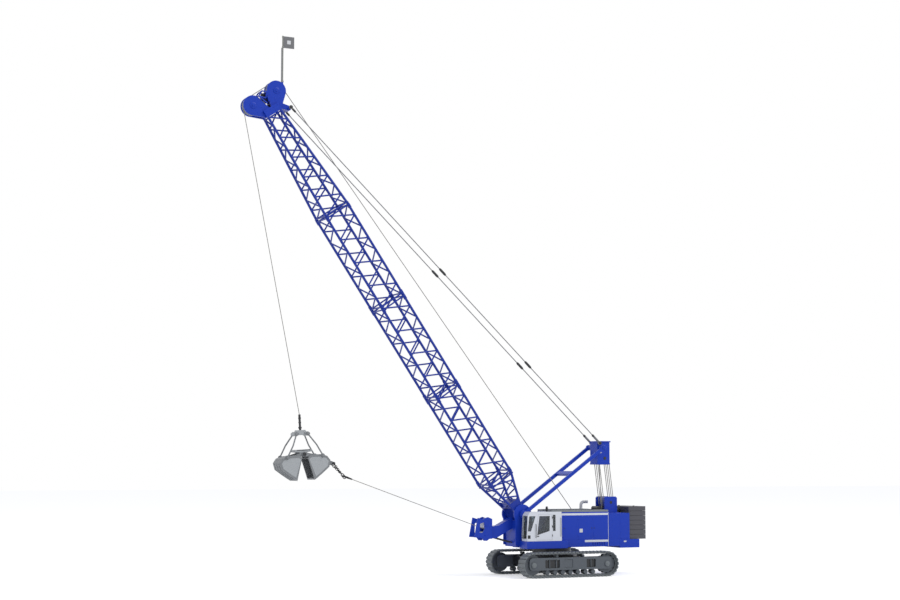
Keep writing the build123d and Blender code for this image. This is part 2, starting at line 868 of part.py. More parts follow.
axle_spot = Vector(pivot_x, 0, pivot_z) + leg_direction * axle_at
head_front = axle_spot.X + head_front_reach
head_rear = axle_spot.X - head_rear_reach
head_bottom = axle_spot.Z - head_below_axle
head_top = axle_spot.Z + head_above_axle
head_middle = (head_front + head_rear) / 2
upper_sheave_x = axle_spot.X - upper_sheave_back
upper_sheave_z = axle_spot.Z - upper_sheave_drop
anchor_x = head_front - anchor_behind_front
anchor_z = head_top - anchor_below_top
head_cavity = head_top - head_solid_top - head_bottom
with BuildPart() as aframe_head:
    with BuildSketch(side_plane(0)):
        with Locations((head_middle, (head_bottom + head_top) / 2)):
            RectangleRounded(head_front - head_rear, head_top - head_bottom, 1.5)
    extrude(amount=head_half_width, both=True)
    with BuildSketch(side_plane(0)):
        with Locations((head_middle, head_bottom + head_cavity / 2)):
            Rectangle(head_front - head_rear - 2 * head_wall, head_cavity)
    extrude(amount=head_half_width - head_wall, both=True, mode=Mode.SUBTRACT)
    add(cross_pin(axle_spot.X, axle_spot.Z, leg_inner, 2.6))
    with BuildSketch(side_plane(0)):
        with Locations((upper_sheave_x, upper_sheave_z)):
            Circle(block_radius + 0.4)
    extrude(amount=head_half_width - head_wall, both=True, mode=Mode.SUBTRACT)
    for side in (-1, 1):
        with BuildSketch(side_plane(side * head_half_width)):
            with Locations((anchor_x, anchor_z)):
                Circle(anchor_radius)
        extrude(amount=-side * (pendant_half_spacing + 1.6 - head_half_width))
aframe_head.part.label = "aframe_head"
export_step(aframe_head.part, "parts/aframe_head.step")

with BuildPart() as upper_sheaves:
    with BuildSketch(side_plane(0)):
        with Locations((upper_sheave_x, upper_sheave_z)):
            Circle(2)
    extrude(amount=head_half_width - head_wall, both=True)
    for index in range(sheave_total):
        with BuildSketch(side_plane((index - (sheave_total - 1) / 2) * sheave_pitch)):
            with Locations((upper_sheave_x, upper_sheave_z)):
                Circle(block_radius)
        extrude(amount=sheave_thickness / 2, both=True)
upper_sheaves.part.label = "upper_sheaves"
export_step(upper_sheaves.part, "parts/upper_sheaves.step")


# Boom sections
corner_signs = ((1, 1), (1, -1), (-1, -1), (-1, 1))


def lattice(start, end, half_start, half_end, bays):
    """Bars of one boom section: four chords, an end frame each way and zigzag lacing.

    start and end are distances along the boom. Each half pair is (depth, width), and
    between the ends the section changes evenly."""

    def corner(share, signs):
        depth = half_start[0] + (half_end[0] - half_start[0]) * share
        width = half_start[1] + (half_end[1] - half_start[1]) * share
        return boom_point(start + (end - start) * share, signs[0] * depth, signs[1] * width)

    bars = [strut(corner(0, signs), corner(1, signs), chord_across, 8) for signs in corner_signs]
    steps = 2 * bays
    for first, second in zip(corner_signs, corner_signs[1:] + corner_signs[:1]):
        for share in (0.5 / steps / bays, 1 - 0.5 / steps / bays):
            bars.append(strut(corner(share, first), corner(share, second), lacing_across))
        for step in range(steps):
            near, far = (first, second) if step % 2 == 0 else (second, first)
            bars.append(strut(corner(step / steps, near), corner((step + 1) / steps, far), lacing_across))
    return bars


def section_box(start, end):
    """Box round one boom section, used to trim its bars flush at both ends."""
    with BuildPart() as box:
        with BuildSketch(boom_plane(0)):
            with Locations(((start + end) / 2, 0)):
                Rectangle(end - start, 3 * boom_half)
        extrude(amount=1.5 * boom_half, both=True)
    return box.part


section_half = (boom_half, boom_half)
foot_half = (foot_half_depth, foot_half_width)
foot_start = 12.0
with BuildPart() as boom_foot:
    add(lattice(foot_start, foot_length, foot_half, section_half, 2))
    add(section_box(foot_start - 5, foot_length), mode=Mode.INTERSECT)
    for side in (-1, 1):
        with BuildSketch(boom_plane(side * (foot_inner + foot_outer) / 2)):
            with Locations((10, 0)):
                Rectangle(20, 15)
            Circle(7.5)
            Circle(pin_radius + pin_gap, mode=Mode.SUBTRACT)
        extrude(amount=lug_thickness / 2, both=True)
    with BuildSketch(boom_plane(0)):
        with Locations((17, 0)):
            Rectangle(7, 13)
    extrude(amount=foot_outer - 0.5, both=True)
boom_foot.part.label = "boom_foot"
export_step(boom_foot.part, "parts/boom_foot.step")

insert_bars = lattice(foot_length, foot_length + insert_length, section_half, section_half, 4)
with BuildPart() as insert_pattern:
    add(insert_bars)
    for signs in corner_signs:
        for station in (foot_length, foot_length + insert_length - connector_length):
            spot = boom_point(station, signs[0] * boom_half, signs[1] * boom_half)
            tip = boom_point(station + connector_length, signs[0] * boom_half, signs[1] * boom_half)
            add(strut(spot, tip, connector_across, 8))
    add(section_box(foot_length, foot_length + insert_length), mode=Mode.INTERSECT)
for index in range(insert_count):
    shift = boom_direction * (index * insert_length)
    with BuildPart() as boom_insert:
        add(insert_pattern.part.moved(Location(shift)))
    boom_insert.part.label = f"boom_insert_{index + 1}"
    export_step(boom_insert.part, f"parts/boom_insert_{index + 1}.step")

top_start = foot_length + insert_count * insert_length
top_end = top_start + top_length
top_half = (top_half_depth, top_half_width)
with BuildPart() as boom_top:
    add(lattice(top_start, top_end, section_half, top_half, 5))
    add(section_box(top_start, top_end), mode=Mode.INTERSECT)
boom_top.part.label = "boom_top"
export_step(boom_top.part, "parts/boom_top.step")

# Boom head: an end block and two cheeks a side that carry the head sheaves
rear_disc = Vector(*boom_point(*disc_rear))
mast_x = rear_disc.X - mast_back
mast_y = cheek_inner + cheek_thickness / 2
mast_bottom = rear_disc.Z + mast_rise
mast_top = mast_bottom + mast_length
with BuildPart() as boom_head:
    with BuildSketch(boom_plane(0)):
        with Locations((top_end + 5, 0)):
            Rectangle(10, 2 * top_half_depth + chord_across)
    extrude(amount=top_half_width + chord_across / 2, both=True)
    for side in (-1, 1):
        cheek_y = side * (cheek_inner + cheek_thickness / 2)
        for disc, low in ((disc_front, -1), (disc_rear, 1)):
            with BuildSketch(boom_plane(cheek_y)):
                with Locations(disc):
                    Circle(disc_radius)
                with Locations((top_end + 5, low * 6.5)):
                    Rectangle(10, 10)
                make_hull()
            extrude(amount=cheek_thickness / 2, both=True)
    with BuildSketch(boom_plane(0)):
        with Locations(disc_front, disc_rear):
            Circle(sheave_radius + 0.6)
    extrude(amount=cheek_inner, both=True, mode=Mode.SUBTRACT)
    for side in (-1, 1):
        with BuildSketch(boom_plane(side * (cheek_inner + 0.5))):
            with Locations(pendant_head_at):
                Circle(anchor_radius)
        extrude(amount=-side * (pendant_half_spacing + 1.6 - cheek_inner - 0.5))
    with BuildSketch(Plane.XY.offset(mast_bottom - mast_boss_length)):
        with Locations((mast_x, mast_y)):
            Circle(cheek_thickness / 2)
    extrude(amount=mast_boss_length)
    with BuildSketch(boom_plane(0)):
        with Locations(pendant_head_at):
            Circle(3)
        with Locations((top_end + 5, 14)):
            Rectangle(9, 2)
        make_hull()
        with Locations((top_end + 5, 10)):
            Rectangle(9, 9)
    extrude(amount=cheek_inner + 1, both=True)
    with BuildSketch(boom_plane(0)):
        with Locations(disc_front, disc_rear):
            Circle(sheave_radius + 0.6)
    extrude(amount=cheek_inner, both=True, mode=Mode.SUBTRACT)
boom_head.part.label = "boom_head"
export_step(boom_head.part, "parts/boom_head.step")

with BuildPart() as head_sheaves:
    with BuildSketch(boom_plane(0)):
        with Locations(disc_front, disc_rear):
            Circle(sheave_groove)
    extrude(amount=cheek_inner, both=True)
    for y in (-cheek_inner + 0.8, cheek_inner - 0.8):
        with BuildSketch(boom_plane(y)):
            with Locations(disc_front, disc_rear):
                Circle(sheave_radius)
        extrude(amount=0.7, both=True)
head_sheaves.part.label = "head_sheaves"
export_step(head_sheaves.part, "parts/head_sheaves.step")

# Flag mast and plate on the boom head
with BuildPart() as flag_mast:
    with BuildSketch(Plane.XY.offset(mast_bottom)):
        with Locations((mast_x, mast_y)):
            Circle(mast_radius)
    extrude(amount=mast_top - mast_bottom)
flag_mast.part.label = "flag_mast"
export_step(flag_mast.part, "parts/flag_mast.step")

with BuildPart() as flag_plate:
    with BuildSketch(side_plane(mast_y)):
        with Locations((mast_x - mast_radius - flag_width / 2 - 0.05, mast_top - flag_height / 2 - 0.5)):
            Rectangle(flag_width, flag_height)
    extrude(amount=0.5, both=True)
flag_plate.part.label = "flag_plate"
export_step(flag_plate.part, "parts/flag_plate.step")

# Pendants from the A-frame head to the boom head, each with an eye at both ends
head_eye = boom_point(*pendant_head_at)
with BuildPart() as pendants:
    for side in (-1, 1):
        y = side * pendant_half_spacing
        low = Vector(anchor_x, y, anchor_z)
        high = Vector(head_eye[0], y, head_eye[2])
        along = (high - low).normalized()
        add(rod(tuple(low + along * 3), tuple(high - along * 2.2), pendant_radius))
        for share in link_stations:
            spot = low + (high - low) * share
            add(strut(tuple(spot - along * 5), tuple(spot + along * 5), 2.2))
        add(strut(tuple(low + along * 2.4), tuple(low + along * 14), 2.4))
        with BuildSketch(side_plane(y)):
            with Locations((low.X, low.Z), (high.X, high.Z)):
                Circle(pendant_eye_radius)
                Circle(anchor_radius + pin_gap, mode=Mode.SUBTRACT)
        extrude(amount=0.9, both=True)
pendants.part.label = "pendants"
export_step(pendants.part, "parts/pendants.step")

# Hoist rope from the front head sheave to the eye of the grab's socket
front_disc = Vector(*boom_point(*disc_front))
socket_top = Vector(grab_eye[0], 0, above_floor(grab_eye[1]))
rope_reach = socket_top - front_disc
rope_length = math.sqrt(rope_reach.length**2 - (sheave_groove + rope_radius) ** 2)
rope_swing = math.atan2(sheave_groove + rope_radius, rope_length)
reach_angle = math.atan2(rope_reach.Z, rope_reach.X)
rope_angle = reach_angle - rope_swing
rope_direction = Vector(math.cos(rope_angle), 0, math.sin(rope_angle))
rope_top = socket_top - rope_direction * rope_length
with BuildPart() as hoist_rope:
    add(rod(tuple(rope_top), tuple(socket_top - rope_direction * (eye_pin_radius + eye_gap)), rope_radius))
hoist_rope.part.label = "hoist_rope"
export_step(hoist_rope.part, "parts/hoist_rope.step")

# The grab leans a little because the drag rope pulls it, so it has planes of its own
lean = math.radians(grab_lean)
grab_up = Vector(math.sin(lean), 0, math.cos(lean))
grab_forward = Vector(math.cos(lean), 0, -math.sin(lean))
hinge_spot = socket_top - grab_up * eye_to_hinge


def grab_plane(y=0.0):
    """Upright plane of the grab from the shells' hinge: its own y runs up the grab's middle."""
    return Plane(origin=hinge_spot + Vector(0, y, 0), x_dir=grab_forward, z_dir=(0, -1, 0))


def grab_point(forward, up, y=0.0):
    """Point in the row frame from a place in the grab's own planes."""
    spot = hinge_spot + grab_forward * forward + grab_up * up
    return (spot.X, y, spot.Z)


# Rope socket with the cross pin that the hoist rope's end turns on
with BuildPart() as rope_socket:
    add(rod(grab_point(0, eye_to_hinge), grab_point(0, crosshead_top), socket_radius))
    add(cross_pin(socket_top.X, socket_top.Z, eye_pin_half, eye_pin_radius))
rope_socket.part.label = "rope_socket"
export_step(rope_socket.part, "parts/rope_socket.step")

# Crosshead with a pin at each end for the four rods
with BuildPart() as grab_crosshead:
    with BuildSketch(grab_plane()):
        with BuildLine():
            Polyline(*crosshead_outline, close=True)
        make_face()
    extrude(amount=4.5, both=True)
    for sign in (-1, 1):
        with BuildSketch(grab_plane()):
            with Locations((sign * rod_top[0], rod_top[1])):
                Circle(2.6)
        extrude(amount=rod_top_y - 1.1, both=True)
        with BuildSketch(grab_plane()):
            with Locations((sign * rod_top[0], rod_top[1])):
                Circle(rod_pin_radius)
        extrude(amount=rod_top_y + 0.9, both=True)
grab_crosshead.part.label = "grab_crosshead"
export_step(grab_crosshead.part, "parts/grab_crosshead.step")

# Lower block with the shells' hinge pin
with BuildPart() as grab_block:
    with BuildSketch(grab_plane()):
        with BuildLine():
            Polyline(*block_outline, close=True)
        make_face()
    extrude(amount=block_half_width, both=True)
    with BuildSketch(grab_plane()):
        Circle(hinge_pin_radius)
    extrude(amount=shell_half_width - shell_wall - 0.1, both=True)
grab_block.part.label = "grab_block"
export_step(grab_block.part, "parts/grab_block.step")

# Shells: a bent back plate and two sides, open at the mouth, with two arms to the hinge pin
for sign, label, arm_y in ((1, "front", 10.05), (-1, "rear", 11.75)):
    with BuildPart() as shell:
        with BuildSketch(grab_plane()):
            with BuildLine():
                Polyline(*[(sign * x, z) for x, z in shell_outline], close=True)
            make_face()
        extrude(amount=shell_half_width, both=True)
        with BuildSketch(grab_plane()):
            with BuildLine():
                Polyline(*[(sign * x, z) for x, z in shell_cavity], close=True)
            make_face()
        extrude(amount=shell_half_width - shell_wall, both=True, mode=Mode.SUBTRACT)
        for y in (-arm_y, arm_y):
            with BuildSketch(grab_plane(y)):
                Circle(arm_radius)
                with Locations((sign * 15.0, -2.6)):
                    Rectangle(2.0, 2.4)
                make_hull()
                Circle(hinge_pin_radius + pin_gap, mode=Mode.SUBTRACT)
            extrude(amount=arm_thickness / 2, both=True)
        if label == "rear":
            for y in (-lug_y, lug_y):
                with BuildSketch(grab_plane(y)):
                    with Locations(chain_lug):
                        Circle(2.0)
                    with Locations((-33.2, -12.5)):
                        Rectangle(2.0, 7.0)
                    make_hull()
                extrude(amount=lug_plate / 2, both=True)
    shell.part.label = f"grab_shell_{label}"
    export_step(shell.part, f"parts/grab_shell_{label}.step")

# Rods from the crosshead pins down to the shells' ears, bent outward in their upper half
for sign, label in ((1, "front"), (-1, "rear")):
    rod_bend = (
        rod_top[0] + (rod_foot[0] - rod_top[0]) * rod_bend_share,
        rod_top[1] + (rod_foot[1] - rod_top[1]) * rod_bend_share,
    )
    with BuildPart() as rods:
        for side in (-1, 1):
            top = grab_point(sign * (rod_top[0] + 0.9), rod_top[1] - 1.9, side * rod_top_y)
            bend = grab_point(sign * rod_bend[0], rod_bend[1], side * rod_foot_y)
            foot = grab_point(sign * rod_foot[0], rod_foot[1], side * rod_foot_y)
            add(strut(top, bend, rod_across, 6))
            add(strut(bend, foot, rod_across, 6))
            with BuildSketch(grab_plane(side * rod_top_y)):
                with Locations((sign * rod_top[0], rod_top[1])):
                    Circle(2.4)
                    Circle(rod_pin_radius + pin_gap, mode=Mode.SUBTRACT)
            extrude(amount=0.7, both=True)
            with BuildSketch(grab_plane(side * rod_foot_y)):
                with Locations((sign * rod_foot[0], rod_foot[1])):
                    Circle(2.0)
            extrude(amount=0.7, both=True)
    rods.part.label = f"grab_rods_{label}"
    export_step(rods.part, f"parts/grab_rods_{label}.step")

# Drag rope from the fairlead, ending in a fork that straddles the chain ring
ring_spot = Vector(ring_point[0], 0, above_floor(ring_point[1]))
lug_spot = Vector(*grab_point(*chain_lug))
drag_reach = ring_spot - Vector(fairlead_upper[0], 0, above_floor(fairlead_upper[1]))
drag_offset = fairlead_sheave_radius + rope_radius + rope_gap
drag_length = math.sqrt(drag_reach.length**2 - drag_offset**2)
drag_angle = math.atan2(drag_reach.Z, drag_reach.X) + math.atan2(drag_offset, drag_length)
drag_direction = Vector(math.cos(drag_angle), 0, math.sin(drag_angle))
drag_start = ring_spot - drag_direction * drag_length
chain_direction = (lug_spot - ring_spot).normalized()


def drag_plane(y=0.0):
    """Upright plane at the fork, with its own x along the drag rope."""
    return Plane(origin=ring_spot + Vector(0, y, 0), x_dir=drag_direction, z_dir=(0, -1, 0))


with BuildPart() as drag_rope:
    add(rod(tuple(drag_start), tuple(ring_spot - drag_direction * fork_reach), rope_radius))
    with BuildSketch(drag_plane()):
        with Locations((-fork_reach, 0)):
            Rectangle(1.6, 2.2)
    extrude(amount=fork_inner + fork_plate, both=True)
    for side in (-1, 1):
        with BuildSketch(drag_plane(side * (fork_inner + fork_plate / 2))):
            with Locations(((fork_tip - fork_reach - 1.1) / 2, 0)):
                SlotOverall(fork_tip + fork_reach + 1.1, 2.2)
        extrude(amount=fork_plate / 2, both=True)
drag_rope.part.label = "drag_rope"
export_step(drag_rope.part, "parts/drag_rope.step")


def link_ring(centre, direction, normal, length, width, wire):
    """One chain link: a flat ring with cut corners, its hole drawn to the wire's size."""
    with BuildPart() as ring:
        with BuildSketch(Plane(origin=centre, x_dir=direction, z_dir=normal)):
            Rectangle(length, width)
            chamfer(vertices(), length=width * 0.3)
            Rectangle(length - 2 * wire, width - 2 * wire, mode=Mode.SUBTRACT)
        extrude(amount=wire / 2, both=True)
    return ring.part


# Chain ring and two chains to the rear shell's lugs, all links touching in one run
ring_end = ring_spot + chain_direction * (ring_length / 2)
with BuildPart() as drag_chains:
    with BuildSketch(Plane(origin=ring_spot, x_dir=chain_direction, z_dir=(0, -1, 0))):
        SlotOverall(ring_length, ring_width)
        SlotOverall(ring_length - 2 * ring_wire, ring_width - 2 * ring_wire, mode=Mode.SUBTRACT)
    extrude(amount=ring_wire / 2, both=True)
    for side in (-1, 1):
        start = ring_end - chain_direction * ring_wire
        chain_y = Vector(0, side * (lug_y + lug_plate / 2 + link_across / 2 + chain_gap), 0)
        run = lug_spot + chain_y - start
        direction = run.normalized()
        flat = direction.cross(Vector(0, 1, 0)).normalized()
        upright = direction.cross(flat).normalized()
        link_pitch = run.length / chain_links
        for index in range(chain_links):
            centre = start + direction * (index + 0.5) * link_pitch
            face = upright if index % 2 else flat
            add(link_ring(centre, direction, face, link_pitch + 2 * link_wire * 0.8, link_across, link_wire))
drag_chains.part.label = "drag_chains"
export_step(drag_chains.part, "parts/drag_chains.step")
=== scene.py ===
"""Looks of a 1:50 scale model of a crawler crane with a lattice boom, an A-frame and a rope grab.

Lengths in this file are millimetres of the model, and put() turns them into metres.
X runs forward, Y to the cab side and Z up, from the slewing axis on the carbody's underside."""

import json
import math

import bmesh
import bpy
import numpy as np
from bpy.props import FloatProperty, FloatVectorProperty, PointerProperty
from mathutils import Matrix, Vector


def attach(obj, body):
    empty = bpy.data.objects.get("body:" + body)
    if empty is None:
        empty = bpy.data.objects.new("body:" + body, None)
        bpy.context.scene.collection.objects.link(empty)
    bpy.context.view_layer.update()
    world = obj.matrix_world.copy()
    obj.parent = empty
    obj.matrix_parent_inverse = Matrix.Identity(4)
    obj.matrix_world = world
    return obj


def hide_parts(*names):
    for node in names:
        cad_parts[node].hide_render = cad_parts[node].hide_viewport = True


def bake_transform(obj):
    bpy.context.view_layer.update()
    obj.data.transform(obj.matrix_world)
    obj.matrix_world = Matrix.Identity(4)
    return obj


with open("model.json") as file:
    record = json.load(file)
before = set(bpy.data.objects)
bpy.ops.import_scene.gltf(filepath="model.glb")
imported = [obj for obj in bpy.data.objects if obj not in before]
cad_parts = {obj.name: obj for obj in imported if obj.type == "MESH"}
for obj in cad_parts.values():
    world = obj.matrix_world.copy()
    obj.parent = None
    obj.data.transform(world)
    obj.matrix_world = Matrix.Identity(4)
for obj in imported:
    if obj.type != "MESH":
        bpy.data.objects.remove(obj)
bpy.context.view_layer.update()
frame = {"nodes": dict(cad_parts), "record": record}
bodies = frame["record"]["behaviour"]["bodies"]
body_of_node = {node: body for body, nodes in bodies.items() for node in nodes}

bl_info = {
    "name": "Crawler crane model",
    "version": (1, 0, 0),
    "blender": (4, 5, 0),
    "location": "3D View > Sidebar > Crane",
    "description": "Dresses the frame of a scale model of a crawler crane",
    "category": "Object",
}

MM = 0.001
X_AXIS = np.array([1.0, 0.0, 0.0])
Y_AXIS = np.array([0.0, 1.0, 0.0])
Z_AXIS = np.array([0.0, 0.0, 1.0])


def upright(degrees):
    """Two unit vectors in the upright plane of X and Z: one at an angle above X, and one square to it."""
    angle = math.radians(degrees)
    return np.array([math.cos(angle), 0, math.sin(angle)]), np.array([-math.sin(angle), 0, math.cos(angle)])


# Places and sizes that the frame gives to its own pieces
FLOOR_Z = -8.0
TRACK_Y = 48.25
WHEEL_X = 56.0
AXLE_Z = 9.0
DECK_Z = 75.9
WALKWAY_Z = 80.4
HOUSE_Y = 34.0
CAB_Y = 40.0
DRUM_X = (-10.0, -38.0)
DRUM_Z = 52.2
PIVOT = np.array([54.0, 0.0, 75.7])
BOOM_ANGLE = 55.7
BOOM_D, BOOM_N = upright(BOOM_ANGLE)
LEG_D, LEG_N = upright(144.3)
BOOM_HALF = 17.8
FRONT_DISC = (651.0, -19.0)
REAR_DISC = (652.0, 19.7)
HEAD_SHEAVE_RADIUS = 11.5
BLOCK_SPOT = np.array([-87.0, 0.0, 90.1])
A_HEAD_SPOT = np.array([-79.47, 0.0, 150.96])
REEVING_RADIUS = 7.7
PENDANT_LOW = np.array([-70.47, 12.0, 171.96])
FAIRLEAD_SHEAVE = np.array([103.5, 0.0, 61.0])
FAIRLEAD_RADIUS = 4.6
RING_SPOT = np.array([306.0, 0.0, 127.0])
SOCKET_EYE = np.array([367.2, 0.0, 205.3])
HINGE = np.array([364.123, 0.0, 154.994])
LEAN = math.radians(3.5)
GRAB_UP = np.array([math.sin(LEAN), 0, math.cos(LEAN)])
GRAB_FORWARD = np.array([math.cos(LEAN), 0, -math.sin(LEAN)])


def linear(code):
    """sRGB hex to linear colour: c / 12.92 up to 0.04045, above it ((c + 0.055) / 1.055) to the power 2.4."""
    values = np.array([int(code[i : i + 2], 16) for i in (1, 3, 5)]) / 255
    return tuple(np.where(values <= 0.04045, values / 12.92, ((values + 0.055) / 1.055) ** 2.4).tolist())


def colour(name, description, code):
    """A colour property with an sRGB hex default."""
    return FloatVectorProperty(
        name=name, description=description, subtype="COLOR", size=3, min=0, max=1, default=linear(code)
    )


def length(name, description, default, low=0.0, high=50.0):
    """A length property in millimetres of the model."""
    return FloatProperty(name=name, description=description, default=default, min=low, max=high, precision=2)


class CraneSizes(bpy.types.PropertyGroup):
    """Sizes of what the scene adds to the frame, in millimetres of the model."""

    edge: length("Edge", "Width of the small bevel that rounds a cast edge", 0.2, 0.0, 1.0)
    chord: length("Chord", "Diameter of the boom's four main tubes", 3.4, 1.0, 6.0)
    lacing: length("Lacing", "Diameter of the boom's zigzag tubes", 2.1, 0.5, 3.0)
    rope: length("Rope", "Diameter of the ropes", 1.0, 0.3, 1.5)
    rope_lay: length("Rope lay", "Distance along the rope of one turn of its strands", 4.2, 1.0, 20.0)
    chain_wire: length("Chain wire", "Diameter of the wire of the chain's links", 0.9, 0.4, 1.2)
    tread_pitch: length("Tread pitch", "Distance between the ribs of the walkways", 1.6, 0.8, 5.0)
    floor: length("Floor", "Half the side of the studio floor", 9000.0, 1000.0, 20000.0)


class CraneColours(bpy.types.PropertyGroup):
    """Colours of the finishes."""

    blue: colour("Blue", "Blue enamel of the machine", "#173DB7")
    # Lattice blue is painted shade: the machine's blue made darker for the boom's thin tubes
    lattice: colour("Lattice blue", "Deeper blue of the boom's thin tubes", "#15349F")
    white: colour("White", "White enamel of the cab and the stripes", "#DDE1EA")
    cast: colour("Cast grey", "Satin grey of the grab and the sheaves", "#ABAFB2")
    # Rim grey is painted shade: the grab's grey made darker on its shells, rods, ribs and pins
    rim: colour("Rim grey", "Darker grey of the grab's rims and inside", "#85888B")
    dark: colour("Dark", "Dark enamel of the carbody and small fittings", "#202226")
    graphite: colour("Graphite", "Dark grey enamel of the counterweight", "#4B4B52")
    track: colour("Track", "Grey casting of the tracks' shoes", "#72787C")
    girder: colour("Girder", "Darker grey of the tracks' side frames and wheels", "#555B62")
    plastic: colour("Plastic", "Black plastic of the seat and small trim", "#18191B")
    pane: colour("Pane", "Tint of the clear panes", "#8E99A2")
    thread: colour("Thread", "Twisted thread of the ropes", "#93918D")
    chain: colour("Chain", "Blackened wire of the chain", "#2C2C30")
    walkway: colour("Walkway", "Grey of the ribbed walkways", "#7E8488")
    mast: colour("Mast", "Grey of the flag's mast", "#8B8D88")
    bar: colour("Pendant bar", "Mid grey of the pendant bars", "#848588")
    flag: colour("Flag", "Mid grey of the flag's plate", "#6E6F72")
    bare: colour("Bare plate", "Pale grey of the plates that stay blank", "#D5D7DA")
    seam: colour("Seam", "Shadow line round the cab's door", "#8F9299")
    lens: colour("Lens", "Clear plastic of the lamps", "#DDE2E4")
    floor: colour("Floor", "Pale studio floor", "#F2F2F2")


class CraneSettings(bpy.types.PropertyGroup):
    """Everything that a user may change."""

    sizes: PointerProperty(type=CraneSizes, name="Sizes", description="Sizes of the added pieces")
    colours: PointerProperty(type=CraneColours, name="Colours", description="Colours of the finishes")


def sizes():
    """The sizes in use."""
    return bpy.context.scene.crane_model.sizes


def colours():
    """The colours in use."""
    return bpy.context.scene.crane_model.colours


# Shapes. A shape is (points, faces): points is an (n, 3) array and faces a list of index arrays,
# one array for each count of sides.


def swept(rings, closed=False, capped=True):
    """Quads between neighbouring rings of an (m, n, 3) grid: point j of ring i joins point j + 1 and ring
    i + 1. Each ring runs anticlockwise seen against the way the rings follow each other, so the faces
    look out."""
    rings = np.asarray(rings, float)
    count, around = rings.shape[:2]
    i = np.arange(count if closed else count - 1)[:, None]
    j = np.arange(around)[None, :]
    k = (i + 1) % count
    after = (j + 1) % around
    quads = np.stack([i * around + j, i * around + after, k * around + after, k * around + j], -1)
    faces = [quads.reshape(-1, 4)]
    if capped and not closed:
        faces.append(np.arange(around)[::-1][None, :])
        faces.append(((count - 1) * around + np.arange(around))[None, :])
    return rings.reshape(-1, 3), faces


def unit(vectors):
    """Vectors divided by their lengths."""
    vectors = np.asarray(vectors, float)
    return vectors / np.linalg.norm(vectors, axis=-1, keepdims=True)


def circle(sides, start=0.0):
    """Cosine and sine of equal turns round a circle."""
    turn = start + 2 * np.pi * np.arange(sides) / sides
    return np.cos(turn), np.sin(turn)


def tube(path, radius, sides=10, reference=Y_AXIS, closed=False):
    """A circle carried along a path: point + radius (cos a u + sin a v), with u and v square to the path."""
    path = np.asarray(path, float)
    ahead = np.roll(path, -1, 0) - np.roll(path, 1, 0) if closed else np.gradient(path, axis=0)
    ahead = unit(ahead)
    u = unit(np.cross(reference, ahead))
    v = np.cross(ahead, u)
    cos, sin = circle(sides)
    ring = cos[None, :, None] * u[:, None] + sin[None, :, None] * v[:, None]
    radius = np.broadcast_to(np.asarray(radius, float), (len(path),))
    return swept(path[:, None] + radius[:, None, None] * ring, closed, not closed)


def turned(profile, base, axis, sides=24):
    """A profile of (radius, distance along the axis) turned about the axis from its first to its last row."""
    profile = np.asarray(profile, float)
    axis = unit(axis)
    helper = X_AXIS if abs(axis[0]) < 0.7 else Z_AXIS
    u = unit(np.cross(helper, axis))
    v = np.cross(axis, u)
    cos, sin = circle(sides)
    ring = cos[None, :, None] * u + sin[None, :, None] * v
    centre = np.asarray(base, float) + profile[:, 1, None] * axis
    return swept(centre[:, None] + profile[:, 0, None, None] * ring)


def button(spot, steps, sides, axis=Y_AXIS):
    """A turned head: an edge of one radius up to a height, a slope in to a second radius at the top's height,
    and the flat top in to a third."""
    radius, height, top_radius, top, inner = steps
    return turned([(radius, 0), (radius, height), (top_radius, top), (inner, top)], spot, axis, sides)


def drawn_in(outline, amount):
    """An outline with every side moved inwards by an amount, its corners kept on their mitres."""
    before = unit(outline - np.roll(outline, 1, 0))
    after = unit(np.roll(outline, -1, 0) - outline)
    left = np.stack([-before[:, 1], before[:, 0]], -1)
    right = np.stack([-after[:, 1], after[:, 0]], -1)
    share = 1 + np.sum(left * right, -1, keepdims=True)
    return outline + amount * (left + right) / np.maximum(share, 0.35)


def plate(outline, origin, across, up, thickness, edge=0.12):
    """A flat plate: the outline drawn in, full, full and drawn in again, at four depths along across x up."""
    outline = np.asarray(outline, float)
    around = np.roll(outline, -1, 0)
    if np.sum(outline[:, 0] * around[:, 1] - outline[:, 1] * around[:, 0]) < 0:
        outline = outline[::-1]
    across = unit(across)
    up = unit(up)
    normal = np.cross(across, up)
    small = drawn_in(outline, edge)
    rows = ((small, 0.0), (outline, edge), (outline, thickness - edge), (small, thickness))
    rings = [np.asarray(origin, float) + o[:, :1] * across + o[:, 1:] * up + d * normal for o, d in rows]
    return swept(np.array(rings))


def side_plate(outline, y, thickness, edge=0.12):
    """A plate whose outline is in (x, z), from y to y + thickness."""
    return plate(outline, (0, y + thickness, 0), X_AXIS, Z_AXIS, thickness, edge)


def rectangle(x0, y0, x1, y1, cut=0.0):
    """An outline of four corners, or of eight where its corners are cut."""
    if not cut:
        return np.array([(x0, y0), (x1, y0), (x1, y1), (x0, y1)], float)
    corners = [(x0 + cut, y0), (x1 - cut, y0), (x1, y0 + cut), (x1, y1 - cut)]
    corners += [(x1 - cut, y1), (x0 + cut, y1), (x0, y1 - cut), (x0, y0 + cut)]
    return np.array(corners, float)


def rounded(width, height, radius, middle=(0.0, 0.0), steps=5):
    """A rectangle with round corners: each corner is a quarter circle about its own centre."""
    turn = np.linspace(0, np.pi / 2, steps)
    quarter = radius * np.stack([np.cos(turn), np.sin(turn)], -1)
    spots = np.array([(1, 1), (-1, 1), (-1, -1), (1, -1)]) * (width / 2 - radius, height / 2 - radius)
    spin = np.array([[[1, 0], [0, 1]], [[0, -1], [1, 0]], [[-1, 0], [0, -1]], [[0, 1], [-1, 0]]])
    return (np.einsum("kij,nj->kni", spin, quarter) + spots[:, None]).reshape(-1, 2) + middle


def box(low, high, edge=0.15):
    """A block between two corners with its edges and corners cut by a small amount."""
    low = np.asarray(low, float)
    high = np.asarray(high, float)
    outline = rectangle(low[0], low[1], high[0], high[1], edge)
    return plate(outline, (0, 0, low[2]), X_AXIS, Y_AXIS, high[2] - low[2], edge)


